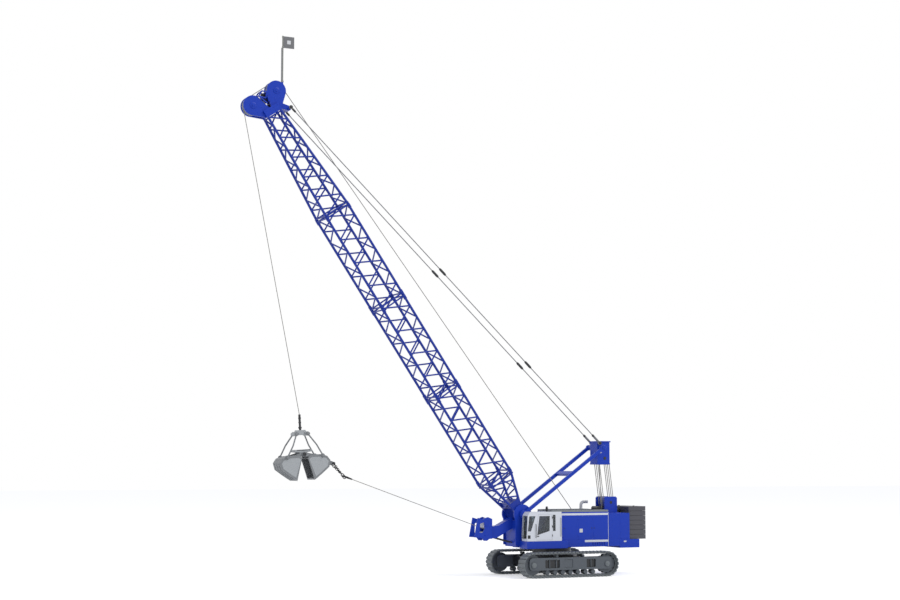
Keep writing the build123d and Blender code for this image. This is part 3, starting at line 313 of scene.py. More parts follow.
def bars(starts, ends, radius, sides=10):
    """Straight round bars, all at once: a circle about each start and each end, joined and capped."""
    starts = np.asarray(starts, float).reshape(-1, 3)
    ends = np.asarray(ends, float).reshape(-1, 3)
    ahead = unit(ends - starts)
    helper = np.where(np.abs(ahead[:, 1:2]) > 0.9, X_AXIS, Y_AXIS)
    u = unit(np.cross(helper, ahead))
    v = np.cross(ahead, u)
    cos, sin = circle(sides)
    ring = radius * (cos[None, :, None] * u[:, None] + sin[None, :, None] * v[:, None])
    points = np.stack([starts[:, None] + ring, ends[:, None] + ring], 1)
    first = np.arange(len(starts))[:, None] * 2 * sides
    j = np.arange(sides)[None, :]
    after = (j + 1) % sides
    quads = np.stack([first + j, first + after, first + sides + after, first + sides + j], -1).reshape(-1, 4)
    caps = np.concatenate([first + j[:, ::-1], first + sides + j])
    return points.reshape(-1, 3), [quads, caps]


def copies(shape, moves, turns=None):
    """Copies of a shape, each turned by a 3 x 3 matrix whose columns are its new axes, then moved."""
    points, faces = shape
    moves = np.asarray(moves, float).reshape(-1, 3)
    placed = points[None] if turns is None else np.einsum("kij,nj->kni", np.asarray(turns, float), points)
    placed = placed + moves[:, None]
    shift = (np.arange(len(moves)) * len(points))[:, None, None]
    return placed.reshape(-1, 3), [(face[None] + shift).reshape(-1, face.shape[1]) for face in faces]


def joined(*shapes):
    """Shapes put together as one."""
    points = np.concatenate([shape[0] for shape in shapes])
    starts = np.cumsum([0] + [len(shape[0]) for shape in shapes[:-1]])
    faces = [face + start for shape, start in zip(shapes, starts) for face in shape[1]]
    return points, faces


def mirrored(shape):
    """A shape reflected to the other side of the crane, with its faces turned round to point outwards."""
    points, faces = shape
    return points * (1, -1, 1), [face[:, ::-1] for face in faces]


def both_sides(*shapes):
    """Shapes and their reflections, as one."""
    shape = joined(*shapes)
    return joined(shape, mirrored(shape))


def framed(outline, place, across, up, wide, deep):
    """A closed frame round an outline: a rectangle of wide by deep carried along it, outside the line."""
    outline = np.asarray(outline, float)
    around = np.roll(outline, -1, 0)
    if np.sum(outline[:, 0] * around[:, 1] - outline[:, 1] * around[:, 0]) < 0:
        outline = outline[::-1]
    outer = drawn_in(outline, -wide)
    across = unit(across)
    up = unit(up)
    normal = np.cross(across, up)
    rows = ((outline, 0.0), (outer, 0.0), (outer, deep), (outline, deep))
    corners = [np.asarray(place, float) + o[:, :1] * across + o[:, 1:] * up + d * normal for o, d in rows]
    return swept(np.stack(corners, 1)[:, ::-1], closed=True)


def dome_screws(spots, axis, radius, height, sides=8):
    """Screw heads of one size: a low dome turned about the axis at each spot."""
    head = turned(
        [(radius, 0.0), (radius, height * 0.55), (radius * 0.72, height), (radius * 0.1, height)],
        (0, 0, 0),
        axis,
        sides,
    )
    return copies(head, spots)


def screw_ring(centre, ring_radius, count, radius, height, start=0.0, sides=8):
    """Screw heads facing Y at equal turns on a circle: centre + ring radius (cos a, 0, sin a)."""
    a = start + np.radians(np.arange(count) * (360 / count))
    spots = np.asarray(centre, float) + ring_radius * np.stack([np.cos(a), 0 * a, np.sin(a)], -1)
    return dome_screws(spots, Y_AXIS, radius, height, sides)


def put(name, shape, body, finish, smooth=35.0, stands_for=()):
    """A mesh object from a shape, scaled to metres, smooth up to an angle, riding on its body where that is a
    name.
    """
    points, faces = shape
    mesh = bpy.data.meshes.new(name)
    loops = np.concatenate([face.ravel() for face in faces]).astype(np.int32)
    totals = np.concatenate([np.full(len(face), face.shape[1]) for face in faces])
    mesh.vertices.add(len(points))
    mesh.vertices.foreach_set("co", (points * MM).astype(np.float32).ravel())
    mesh.loops.add(len(loops))
    mesh.loops.foreach_set("vertex_index", loops)
    mesh.polygons.add(len(totals))
    mesh.polygons.foreach_set("loop_start", (np.cumsum(totals) - totals).astype(np.int32))
    mesh.update(calc_edges=True)
    mesh.validate()
    shown(name, mesh, body, finish, smooth, stands_for)


def shown(name, mesh, body, finish, smooth, stands_for):
    """Puts a finished mesh into the scene with its material, on its body where that is a name, and hides the
    nodes that it stands for.
    """
    mesh.shade_smooth()
    mesh.set_sharp_from_angle(angle=math.radians(smooth))
    piece = bpy.data.objects.new(name, mesh)
    bpy.context.scene.collection.objects.link(piece)
    mesh.materials.append(material(finish))
    if isinstance(body, str):
        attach(piece, body)
    else:
        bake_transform(piece)
    if stands_for:
        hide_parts(*stands_for)
    return piece


def painted(finish, *nodes):
    """CAD nodes whose shape is kept get a finish."""
    for node in nodes:
        for entry in frame["nodes"][node].material_slots:
            entry.material = material(finish)


def softened(finish, *nodes, width=None, angle=32.0):
    """A merged copy of each CAD node with its edges rounded by a small bevel, which stands for the node."""
    for node in nodes:
        mesh = frame["nodes"][node].data.copy()
        mesh.name = node + "_cast"
        mesh.materials.clear()
        work = bmesh.new()
        work.from_mesh(mesh)
        bmesh.ops.remove_doubles(work, verts=work.verts, dist=2e-6)
        bmesh.ops.dissolve_limit(work, angle_limit=math.radians(1), verts=work.verts, edges=work.edges)
        work.to_mesh(mesh)
        work.free()
        piece = shown(node + "_cast", mesh, body_of_node[node], finish, angle, (node,))
        bevel = piece.modifiers.new("edge", "BEVEL")
        bevel.width = (sizes().edge if width is None else width) * MM
        bevel.segments = 2
        bevel.limit_method = "ANGLE"
        bevel.angle_limit = math.radians(angle)
        bevel.use_clamp_overlap = True
        bevel.harden_normals = True


# Finishes


def add(tree, kind, values=None, links=None, **settings):
    """One node with its settings, its sockets' values and its links, each from (node, output)."""
    node = tree.nodes.new(kind)
    for key, value in settings.items():
        setattr(node, key, value)
    for key, value in (values or {}).items():
        node.inputs[key].default_value = value
    for key, (source, output) in (links or {}).items():
        tree.links.new(source.outputs[output], node.inputs[key])
    return node


# Each finish by the name of its material: slot, colour, roughness, spread of the roughness, grain and relief
# in mm, share of mottle, size of its patches in mm, dust and painted highlight on faces that look up, and
# other inputs of the shader.
FINISHES = {
    # Gloss enamel sprayed on a zinc casting: even colour, a soft highlight and a faint orange peel
    "blue_enamel": (
        "blue_paint", "blue", 0.34, 0.04, 0.9, 0.008, 0.04, 20.0, 0.0, {"Specular IOR Level": 0.25}
    ),
    # The same enamel in a darker blue on the boom's thin tubes, as painted shade, with a soft highlight
    "blue_enamel_lattice": (
        "blue_paint", "lattice", 0.36, 0.04, 0.9, 0.006, 0.05, 12.0, 0.0, {"Specular IOR Level": 0.3}
    ),
    # The enamel in white, a little glossier, on the cab and the stripes
    "white_enamel": ("white_paint", "white", 0.32, 0.04, 0.9, 0.01, 0.015, 18.0, 0.0, {"Coat Weight": 0.15}),
    # Satin paint on a fine casting: broad soft highlights and a slight grain in the colour
    "satin_cast_paint": ("grey_paint", "cast", 0.46, 0.06, 0.6, 0.006, 0.05, 7.0, 0.0, {}),
    # The same satin paint in a darker grey, painted shade on rims and inner faces
    "rim_cast_paint": ("grey_paint", "rim", 0.5, 0.06, 0.6, 0.006, 0.06, 7.0, 0.0, {}),
    # Dark half-gloss enamel: nearly black with a clear edge highlight
    "dark_enamel": ("dark_paint", "dark", 0.4, 0.06, 0.8, 0.012, 0.12, 12.0, 0.0, {}),
    # Dark grey satin enamel of the ballast slabs
    "graphite_enamel": ("dark_paint", "graphite", 0.44, 0.06, 0.7, 0.015, 0.06, 14.0, 0.0, {}),
    # Painted track castings: dull grey, mottled, paler where faces look up from dust and a painted highlight
    "track_casting": ("track_metal", "track", 0.52, 0.08, 0.45, 0.03, 0.16, 5.0, 0.1, {"Metallic": 0.25}),
    # The same dull casting paint, darker, on the side frames, wheels and rollers
    "girder_casting": ("track_metal", "girder", 0.5, 0.08, 0.5, 0.015, 0.14, 6.0, 0.06, {"Metallic": 0.2}),
    # Painted wire of the pendant bars: mid grey and half gloss
    "bar_enamel": ("grey_paint", "bar", 0.38, 0.05, 0.6, 0.004, 0.04, 8.0, 0.0, {}),
    # Moulded black plastic: dull, even, with a fine spark-eroded grain
    "black_abs": ("black_plastic", "plastic", 0.5, 0.05, 0.4, 0.012, 0.05, 9.0, 0.0, {}),
    # Painted steel wire of the mast: mid grey and half gloss
    "mast_enamel": ("white_paint", "mast", 0.36, 0.04, 0.6, 0.006, 0.03, 8.0, 0.0, {}),
    # Flat plastic of the flag: mid grey with a soft gloss
    "flag_plastic": ("flag_paint", "flag", 0.38, 0.05, 0.8, 0.006, 0.04, 6.0, 0.0, {}),
    # Pale printed film without any print: smooth and half gloss
    "bare_film": ("white_paint", "bare", 0.34, 0.03, 0.8, 0.003, 0.02, 6.0, 0.0, {}),
    # The groove round a moulded door, filled with shadow: matt and even
    "seam_shadow": ("white_paint", "seam", 0.6, 0.05, 0.6, 0.01, 0.0, 14.0, 0.0, {}),
    # Blackened steel wire: dark, with narrow bright highlights
    "blackened_wire": ("chain_metal", "chain", 0.34, 0.07, 0.3, 0.01, 0.15, 3.0, 0.0, {"Metallic": 0.85}),
    # Clear styrene of the panes: a light grey tint, sharp reflections and a dim view of the seat
    "clear_styrene": (
        "clear_plastic", "pane", 0.06, 0.02, 6.0, 0.004, 0.01, 20.0, 0.0, {
            "Transmission Weight": 0.9, "IOR": 1.45
        }
    ),
    # Clear moulded lens of a lamp: milky and smooth
    "lens_styrene": (
        "clear_plastic", "lens", 0.1, 0.02, 0.5, 0.02, 0.02, 4.0, 0.0, {"Transmission Weight": 0.35}
    ),
    # Grey satin paint of the walkways, paler where it looks up from dust and a painted highlight; the ribs
    # are in the mesh
    "walkway_paint": ("grey_paint", "walkway", 0.55, 0.06, 0.4, 0.03, 0.08, 5.0, 0.08, {}),
    # Twisted polyester thread: dull grey, its strands in the mesh, its fibres a streaky bump
    "twisted_thread": ("thread", "thread", 0.75, 0.05, 0.16, 0.02, 0.14, 1.2, 0.0, {"Sheen Weight": 0.2}),
}


def material(name):
    """A finish on one shader, made at its first use. Grain and relief drive a fine bump, patches change the
    colour by the mottle and the roughness by its spread, and dust and a painted highlight lighten the faces
    that look up."""
    if name in bpy.data.materials:
        return bpy.data.materials[name]
    _, key, roughness, spread, grain, relief, mottle, patch, dust_and_sheen, inputs = FINISHES[name]
    base = tuple(getattr(colours(), key))
    made = bpy.data.materials.new(name)
    made.use_nodes = True
    made.diffuse_color = (*base, 1)
    tree = made.node_tree
    tree.nodes.clear()
    place = {"Vector": (add(tree, "ShaderNodeTexCoord"), "Object")}
    fine = add(tree, "ShaderNodeTexNoise", {"Scale": 1 / (grain * MM), "Detail": 2.0}, place)
    broad = add(
        tree, "ShaderNodeTexNoise", {"Scale": 1 / (patch * MM), "Detail": 4.0, "Roughness": 0.6}, place
    )
    bump = add(tree, "ShaderNodeBump", {"Strength": 1.0, "Distance": relief * MM}, {"Height": (fine, "Fac")})
    rough = add(
        tree,
        "ShaderNodeMapRange",
        {"From Min": 0.3, "From Max": 0.7, "To Min": roughness - spread, "To Max": roughness + spread},
        {"Value": (broad, "Fac")},
    )
    lighter = tuple(min(1.0, c * (1 + mottle) + 0.02 * mottle) for c in base)
    darker = tuple(c * (1 - mottle) for c in base)
    tone = add(
        tree,
        "ShaderNodeMix",
        {6: (*darker, 1), 7: (*lighter, 1)},
        {0: (broad, "Fac")},
        data_type="RGBA",
        clamp_factor=True,
    )
    # Faces that look up turn paler: dust, and a painted highlight on the tops
    if dust_and_sheen:
        axes = add(
            tree, "ShaderNodeSeparateXYZ", None, {"Vector": (add(tree, "ShaderNodeNewGeometry"), "Normal")}
        )
        upward = add(
            tree,
            "ShaderNodeMapRange",
            {"From Min": 0.2, "From Max": 1.0, "To Min": 0.0, "To Max": dust_and_sheen},
            {"Value": (axes, "Z")},
        )
        pale = {7: (*linear("#B9B9B6"), 1)}
        tone = add(tree, "ShaderNodeMix", pale, {0: (upward, "Result"), 6: (tone, 2)}, data_type="RGBA")
    surface = add(
        tree,
        "ShaderNodeBsdfPrincipled",
        inputs,
        {"Base Color": (tone, 2), "Roughness": (rough, "Result"), "Normal": (bump, "Normal")},
    )
    add(tree, "ShaderNodeOutputMaterial", None, {"Surface": (surface, "BSDF")})
    return made


# Tracks and undercarriage

# The shoes' spacing, their number on a straight run and round a wheel, their distance from the axles' line on
# a run and from the axle round a wheel, and half their width
SHOE_PITCH = 5.6
RUN_SHOES = 20
TURN_SHOES = 9
RUN_RADIUS = 15.4
TURN_RADIUS = 15.25
SHOE_HALF = 8.75


def loop_band(inner, outer, low, high, steps=19):
    """A band round the track's loop: a rectangle between two radii and two Ys, carried round both wheels."""
    turn = np.radians(np.concatenate([np.linspace(-90, 90, steps), np.linspace(90, 270, steps)]))
    middle = np.where(np.arange(2 * steps) < steps, WHEEL_X, -WHEEL_X)
    outward = np.stack([np.cos(turn), 0 * turn, np.sin(turn)], -1)
    centre = np.stack([middle, 0 * turn, AXLE_Z + 0 * turn], -1)
    corners = ((inner, low), (outer, low), (outer, high), (inner, high))
    rings = np.stack([centre + radius * outward + y * Y_AXIS for radius, y in corners], 1)
    return swept(rings, closed=True)


def shoe_places():
    """Where each shoe's inner face is, and its own axes: along the loop, across it and outwards."""
    x = (np.arange(RUN_SHOES) + 0.5) * SHOE_PITCH - WHEEL_X
    turn = np.radians((np.arange(TURN_SHOES) + 0.5) * 180 / TURN_SHOES - 90)
    cos, sin = np.cos(turn), np.sin(turn)
    flat = np.ones(RUN_SHOES)
    x = np.concatenate([x, x, WHEEL_X + TURN_RADIUS * cos, -WHEEL_X - TURN_RADIUS * cos])
    z = np.concatenate([-RUN_RADIUS * flat, RUN_RADIUS * flat, TURN_RADIUS * sin, TURN_RADIUS * sin])
    out_x = np.concatenate([0 * flat, 0 * flat, cos, -cos])
    out_z = np.concatenate([-flat, flat, sin, sin])
    places = np.stack([x, 0 * x, AXLE_Z + z], -1)
    outward = np.stack([out_x, 0 * x, out_z], -1)
    along = np.stack([out_z, 0 * x, -out_x], -1)
    across = np.broadcast_to(Y_AXIS, along.shape)
    return places, np.stack([along, across, outward], -1)


def one_track():
    """A track about its own middle: shoes with one low bar each, link plates, pins and two closed bands."""
    places, turns = shoe_places()
    outline = [
        (-2.3, 0), (2.3, 0), (2.3, 0.95), (0.8, 1.0), (0.45, 1.6), (-0.45, 1.6), (-0.8, 1.0), (-2.3, 0.95)
    ]
    shoe = side_plate(outline, -SHOE_HALF, 2 * SHOE_HALF, 0.1)
    end = side_plate(rectangle(-1.6, 0.0, 1.6, 1.3), 7.3, 0.9, 0.08)
    link = side_plate(rounded(5.1, 2.0, 0.9, (0, -1.0), 3), 3.0, 1.3, 0.1)
    pin = bars([(-2.8, -4.5, -1.0)], [(-2.8, 4.5, -1.0)], 0.55, 6)
    run = copies(joined(shoe, both_sides(end), both_sides(link), pin), places, turns)
    return joined(run, loop_band(13.9, 15.3, -3.1, 3.1), loop_band(14.8, 15.2, -8.4, 8.4))


def make_tracks():
    """Both tracks, each replacing its plain loop inside the same outer shape."""
    track = one_track()
    for side, label in ((1, "left"), (-1, "right")):
        node = "track_" + label
        shape = copies(track, [(0, side * TRACK_Y, 0)])
        put(node + "_links", shape, "undercarriage", "track_casting", 30, (node,))


def make_undercarriage():
    """Side frames, carbody, wheels and rollers, with boss covers and screws."""
    softened("dark_enamel", "carbody")
    painted("dark_enamel", "slew_ring")
    softened("girder_casting", "crawler_frame_left", "crawler_frame_right")
    softened("girder_casting", "sprockets", "idlers_and_rollers", width=0.15)
    cover = turned(
        [(3.4, 0), (3.4, 0.35), (2.9, 0.6), (1.6, 0.6), (1.5, 0.95), (0.6, 1.05)], (0, 55.1, 0), Y_AXIS, 24
    )
    boss = joined(cover, screw_ring((0, 55.65, 0), 2.35, 6, 0.36, 0.3, math.radians(30), 6))
    boss = copies(boss, [(WHEEL_X, 0, AXLE_Z), (-WHEEL_X, 0, AXLE_Z)])
    put("wheel_bosses", both_sides(boss), "undercarriage", "track_casting")
    # Near-black plates on the floors of the side frames' pockets: painted shade in the recesses
    shaded_floors = [
        side_plate(rounded(w - 0.4, 10.6, 1.4, (x, 10.35), 4), 52.0, 0.25, 0.05)
        for x, w in ((-31, 14), (28, 22))
    ]
    middle = side_plate(rounded(13.6, 10.6, 1.4, (4, 10.35), 4), 53.4, 0.25, 0.05)
    ribs = [side_plate(rectangle(x - 0.6, 5.4, x + 0.6, 15.4), 52.1, 1.6, 0.1) for x in (-31.0, 22.0, 32.0)]
    put("pocket_floors", both_sides(*shaded_floors), "undercarriage", "dark_enamel")
    put("pocket_ribs", both_sides(middle, *ribs), "undercarriage", "girder_casting")
    screw_x, screw_z = np.meshgrid([-34.5, -27.5, 0.5, 7.5, 20.0, 36.0], [3.6, 17.1])
    spots = np.stack([screw_x.ravel(), np.full(screw_x.size, 54.2), screw_z.ravel() - 1.6], -1)
    screws = dome_screws(spots, Y_AXIS, 0.5, 0.35, 6)
    put("frame_screws", both_sides(screws), "undercarriage", "track_casting")
    spots = [(x, 41.0, 17.0) for x in (-35.0, -31.6, -28.3, -25.0, 25.0, 28.3, 31.6, 35.0)]
    put("beam_screws", both_sides(dome_screws(spots, Z_AXIS, 0.6, 0.45, 6)), "undercarriage", "dark_enamel")


# Slewing frame, fairlead and winches


def make_main_frame():
    """Main frame with its pins and pin caps, weld ribs on the columns and a bare plate on the rear base."""
    softened("blue_enamel", "main_frame")
    painted("dark_enamel", "pivot_pins")
    profile = [(4.6, 0), (4.6, 0.5), (4.0, 0.8), (2.0, 0.8), (1.7, 0.55), (0.1, 0.55)]
    cap = turned(profile, PIVOT + 22.75 * Y_AXIS, Y_AXIS, 32)
    screws = screw_ring(PIVOT + 23.5 * Y_AXIS, 3.2, 6, 0.4, 0.3, sides=6)
    put("pivot_caps", both_sides(cap, screws), "superstructure", "blue_enamel")
    edge = joined(
        side_plate([(37.4, 34.5), (39.4, 34.5), (43.4, 66.0), (42.0, 66.4)], 18.7, 0.7, 0.15),
        side_plate(rectangle(61.4, 36.0, 63.4, 66.0), 18.7, 0.7, 0.15),
    )
    put("column_ribs", mirrored(edge), "superstructure", "blue_enamel")
    blank = side_plate(rounded(4.0, 2.0, 0.4, (-96.5, 37.2), 3), HOUSE_Y - 0.05, 0.3, 0.08)
    put("rear_plate", blank, "superstructure", "bare_film")
    screws = dome_screws([(x, HOUSE_Y, 32.0) for x in (-117.0, -110.0, -103.0)], Y_AXIS, 0.5, 0.35)
    put("base_screws", both_sides(screws), "superstructure", "blue_enamel")


def make_fairlead():
    """Fairlead arm, frame and sheaves painted pale as painted light in the frame's window, with pin heads and
    two dark stay rods.
    """
    softened("blue_enamel", "fairlead_arm", "fairlead_frame")
    # The sheaves take the pale blank-film colour: painted light showing in the fairlead frame's window
    softened("bare_film", "fairlead_sheaves", width=0.15)
    spots = ((104.5, 8.9, 48.5), FAIRLEAD_SHEAVE + 8.9 * Y_AXIS)
    heads = [button(spot, (1.7, 0.5, 1.3, 0.8, 0.2), 16) for spot in spots]
    put("fairlead_pins", both_sides(*heads), "superstructure", "blue_enamel")
    stays = bars([(63.0, -4, 37.5), (63.0, 4, 37.5)], [(89.6, -4, 44.5), (89.6, 4, 44.5)], 0.95, 10)
    put("fairlead_stays", stays, "superstructure", "dark_enamel")


def wound(radius, low, high, wire, x, z, sides=6):
    """Rope wound on a drum, a wire's width a turn: the helix (radius cos t, low + wire t / 2 pi,
    radius sin t)."""
    turns = (high - low) / wire
    t = np.linspace(0, 2 * np.pi * turns, int(turns * 20))
    path = np.stack([x + radius * np.cos(t), low + wire * t / (2 * np.pi), z + radius * np.sin(t)], -1)
    return tube(path, wire / 2, sides)


def make_winches():
    """Two winch drums with their rope and hubs, a valve block, a rear box and two pipes."""
    softened("dark_enamel", "winch_drums", width=0.2)
    rope = [wound(9.45, -11.6, 11.6, 1.05, x, DRUM_Z) for x in DRUM_X]
    put("drum_rope", joined(*rope), "superstructure", "twisted_thread")
    hub = button((0, 13.7, DRUM_Z), (4.0, 1.4, 3.0, 1.8, 0.3), 20)
    put("drum_hubs", both_sides(copies(hub, [(x, 0, 0) for x in DRUM_X])), "superstructure", "dark_enamel")
    valves = box((-29, -8, 40.1), (-19, 8, 49))
    rear = box((-56.0, -12, 40.1), (-51, 12, 47))
    pipes = bars([(-24, -6, 44), (-24, 6, 44)], [(-5, -17, 43.0), (-5, 17, 43.0)], 0.6, 8)
    put("winch_valves", joined(valves, rear, pipes), "superstructure", "dark_enamel")


# Cab

# Outlines of the windows in X and Z, on the outer side and on the side towards the boom
SIDE_WINDOWS = (
    ((54.9, 72.9), (46.6, 72.9), (53.1, 53.7), (57.0, 53.7)),
    ((39.6, 72.9), (24.7, 72.9), (25.0, 53.7), (42.9, 48.6)),
    ((19.1, 74.5), (15.9, 74.5), (15.9, 53.7), (19.1, 53.7)),
)
INNER_WINDOW = ((50.0, 72.9), (22.0, 72.9), (22.0, 54.0), (52.0, 54.0))


def hand_rail(x, y, out, low, high, radius):
    """An upright rail on a side: out from the wall, up, and back to it, as round wire."""
    path = [(x, y, low), (x, y + out, low + 0.6), (x, y + out, high - 0.6), (x, y, high)]
    return tube(path, radius, 8, X_AXIS)


def make_cab():
    """Cab: softened shell, clear panes, gaskets, door seam, rails, wiper, grille, lining, levers and lamp."""
    softened("white_enamel", "cab_shell", width=0.35)
    softened("blue_enamel", "cab_console")
    painted("clear_styrene", "cab_windows")
    softened("black_abs", "cab_seat")
    seals = [framed(window, (0, CAB_Y + 0.12, 0), X_AXIS, Z_AXIS, 0.35, 0.4) for window in SIDE_WINDOWS]
    inner = framed(INNER_WINDOW, (0, 24.6, 0), X_AXIS, Z_AXIS, 0.5, 0.45)
    tilt = unit((-1.6, 0, 29.0))
    front = rectangle(-5.45, -14.5, 5.45, 14.5)
    seals.append(framed(front, (57.92, 32.15, 58.5), Y_AXIS, tilt, 0.5, 0.4))
    put("cab_seals", joined(inner, *seals), "superstructure", "black_abs")
    door = [(20.9, 41.6), (43.9, 41.6), (45.2, 48.0), (41.6, 75.6), (20.9, 75.6)]
    seam = framed(door, (0, CAB_Y + 0.04, 0), X_AXIS, Z_AXIS, 0.22, 0.1)
    put("door_seam", seam, "superstructure", "seam_shadow")
    rail = hand_rail(45.6, CAB_Y, 1.2, 45.0, 62.6, 0.35)
    rear_rail = hand_rail(7.6, CAB_Y, 1.0, 46.0, 70.6, 0.3)
    handle = box((40.9, CAB_Y, 46.0), (43.6, CAB_Y + 0.7, 47.2), 0.2)
    hinges = joined(*[bars([(20.4, 40.2, z)], [(20.4, 40.2, z + 2.6)], 0.5, 8) for z in (46.0, 58.0, 70.0)])
    wiper = joined(
        bars([(58.7, 33.5, 45.6)], [(58.15, 30.2, 60.0)], 0.28, 6),
        bars([(58.35, 30.2, 55.0)], [(57.8, 30.2, 65.0)], 0.22, 6),
        turned([(0.8, 0), (0.8, 0.6), (0.2, 0.8)], (58.2, 33.5, 45.6), X_AXIS, 12),
    )
    put("cab_fittings", joined(rail, rear_rail, handle, hinges, wiper), "superstructure", "black_abs")
    wall = CAB_Y - 0.05
    grille = [
        side_plate(rectangle(53.9, z, 57.4, z + 0.45), wall, 0.3, 0.06) for z in np.arange(43.9, 47.6, 0.85)
    ]
    back = side_plate(rectangle(53.6, 43.5, 57.7, 48.0), wall, 0.12, 0.04)
    put("cab_grille", joined(back, *grille), "superstructure", "dark_enamel")
    liner = joined(
        box((7.5, 25.6, 41.3), (8.0, 38.7, 77.6)),
        box((8.0, 25.6, 41.3), (56.4, 38.7, 41.8)),
        box((8.0, 25.6, 77.1), (53.0, 38.7, 77.6)),
        box((8.0, 25.6, 41.8), (56.0, 26.0, 53.5)),
        box((8.0, 25.6, 53.5), (21.8, 26.0, 77.1)),
        box((12.0, 27.0, 41.8), (20.0, 37.8, 52.0), 0.4),
    )
    put("cab_liner", liner, "superstructure", "black_abs")
    knob = turned([(0.3, 0), (0.8, 0.5), (0.8, 1.1), (0.2, 1.6)], (41.5, 0, 52.6), Z_AXIS, 10)
    levers = bars([(45, 29.5, 41.5), (45, 34.8, 41.5)], [(41.5, 29.5, 53), (41.5, 34.8, 53)], 0.35, 8)
    knobs = copies(knob, [(0, 29.5, 0), (0, 34.8, 0)])
    put("cab_levers", joined(levers, knobs), "superstructure", "black_abs")
    painted("black_abs", "roof_lamp")
    rings = [
        turned([(1.95, 0), (2.05, 0.2), (1.9, 0.4)], (25, 33, z), Z_AXIS, 20) for z in (81.2, 82.6, 84.0)
    ]
    put("lamp_rings", joined(*rings), "superstructure", "black_abs")


# Houses, tank, rear block and counterweight


def stripe(x0, x1, z0, z1):
    """A painted band on the house's side, as a very thin plate."""
    return side_plate(rectangle(x0, z0, x1, z1), HOUSE_Y - 0.05, 0.19, 0.05)


def make_house():
    """Houses, tank and rear block, softened, with stripes, doors, panels, a bare square and fittings."""
    softened("blue_enamel", "house_left", "house_right", "fuel_tank", "rear_block", width=0.35)
    upper = stripe(-69.9, 3.3, 73.6, 76.4)
    lower = stripe(-69.9, -33.0, 37.2, 40.1)
    front = stripe(2.6, 3.4, 31.5, 73.6)
    # The thin white strip down the house's rear corner is a painted highlight on that edge
    corner = stripe(-70.2, -69.7, 31.5, 77.5)
    put("house_stripes", both_sides(upper, lower, front, corner), "superstructure", "white_enamel")
    marks = side_plate(rectangle(-29.7, 50.4, -24.7, 55.4, 0.5), HOUSE_Y + 0.05, 0.15, 0.05)
    put("bare_squares", both_sides(marks), "superstructure", "bare_film")
    doors = ((-68.7, -46.0), (-45.4, -22.7), (-22.1, 0.9))
    wall = HOUSE_Y - 0.1
    panels = [side_plate(rectangle(x0, 41.0, x1, 72.8, 0.4), wall, 0.22, 0.1) for x0, x1 in doors]
    put("house_doors", both_sides(*panels), "superstructure", "blue_enamel")
    ends = (doors[0][1] - 2.4, doors[2][1] - 2.4, doors[1][0] + 1.0)
    latches = [box((x, 34.1, 55.6), (x + 1.4, 34.5, 56.8), 0.1) for x in ends]
    put("house_latches", both_sides(*latches), "superstructure", "black_abs")
    places = [(x, z) for x in (-45.7, -22.4, 1.2) for z in (44, 67)]
    hinges = [bars([(x, 34.2, z)], [(x, 34.2, z + 2.2)], 0.3, 6) for x, z in places]
    put("house_hinges", both_sides(*hinges), "superstructure", "blue_enamel")
    outlines = (rectangle(-103.4, 41.0, -88.8, 74.6, 0.5), rectangle(-87.8, 31.8, -71.2, 74.6, 0.5))
    panels = [side_plate(outline, wall, 0.28, 0.12) for outline in outlines]
    put("rear_panels", both_sides(*panels), "superstructure", "blue_enamel")
    outlines = [rectangle(y, 42.0, y + 19.5, 74.6, 0.5) for y in (-30.5, -9.75, 11.0)]
    back = [plate(outline, (-104.2, 0, 0), Y_AXIS, Z_AXIS, 0.25, 0.1) for outline in outlines]
    put("rear_back", joined(*back), "superstructure", "blue_enamel")
    equipment = joined(
        box((-75.5, -9.5, DECK_Z), (-71.3, 9.5, 81.0), 0.3),
        box((-103.0, -9.0, DECK_Z), (-98.5, 9.0, 80.2), 0.3),
        box((-74.0, -26.0, DECK_Z), (-71.0, -18.0, 80.4), 0.3),
        bars([(-70.6, -8.0, 81.6)], [(-70.6, 8.0, 81.6)], 3.4, 20),
        bars([(-76.0, -7.0, 79.4), (-76.0, 7.0, 79.4)], [(-71.0, -7.0, 79.4), (-71.0, 7.0, 79.4)], 1.2, 12),
        bars([(-73.0, 12.0, 76.0), (-73.0, 16.0, 76.0)], [(-73.0, 12.0, 81.5), (-73.0, 16.0, 80.0)], 1.1, 12),
    )
    put("roof_equipment", equipment, "superstructure", "dark_enamel")
    cap = button((34.0, -27.0, 54.9), (1.9, 1.2, 1.5, 1.6, 0.3), 20, Z_AXIS)
    handle = hand_rail(12, -HOUSE_Y, -1.2, 42.0, 51.0, 0.35)
    straps = joined(*[side_plate(rectangle(x, 31.2, x + 1.6, 53.0), -34.2, 0.3, 0.08) for x in (14.0, 40.0)])
    put("tank_fittings", joined(cap, handle, straps), "superstructure", "dark_enamel")


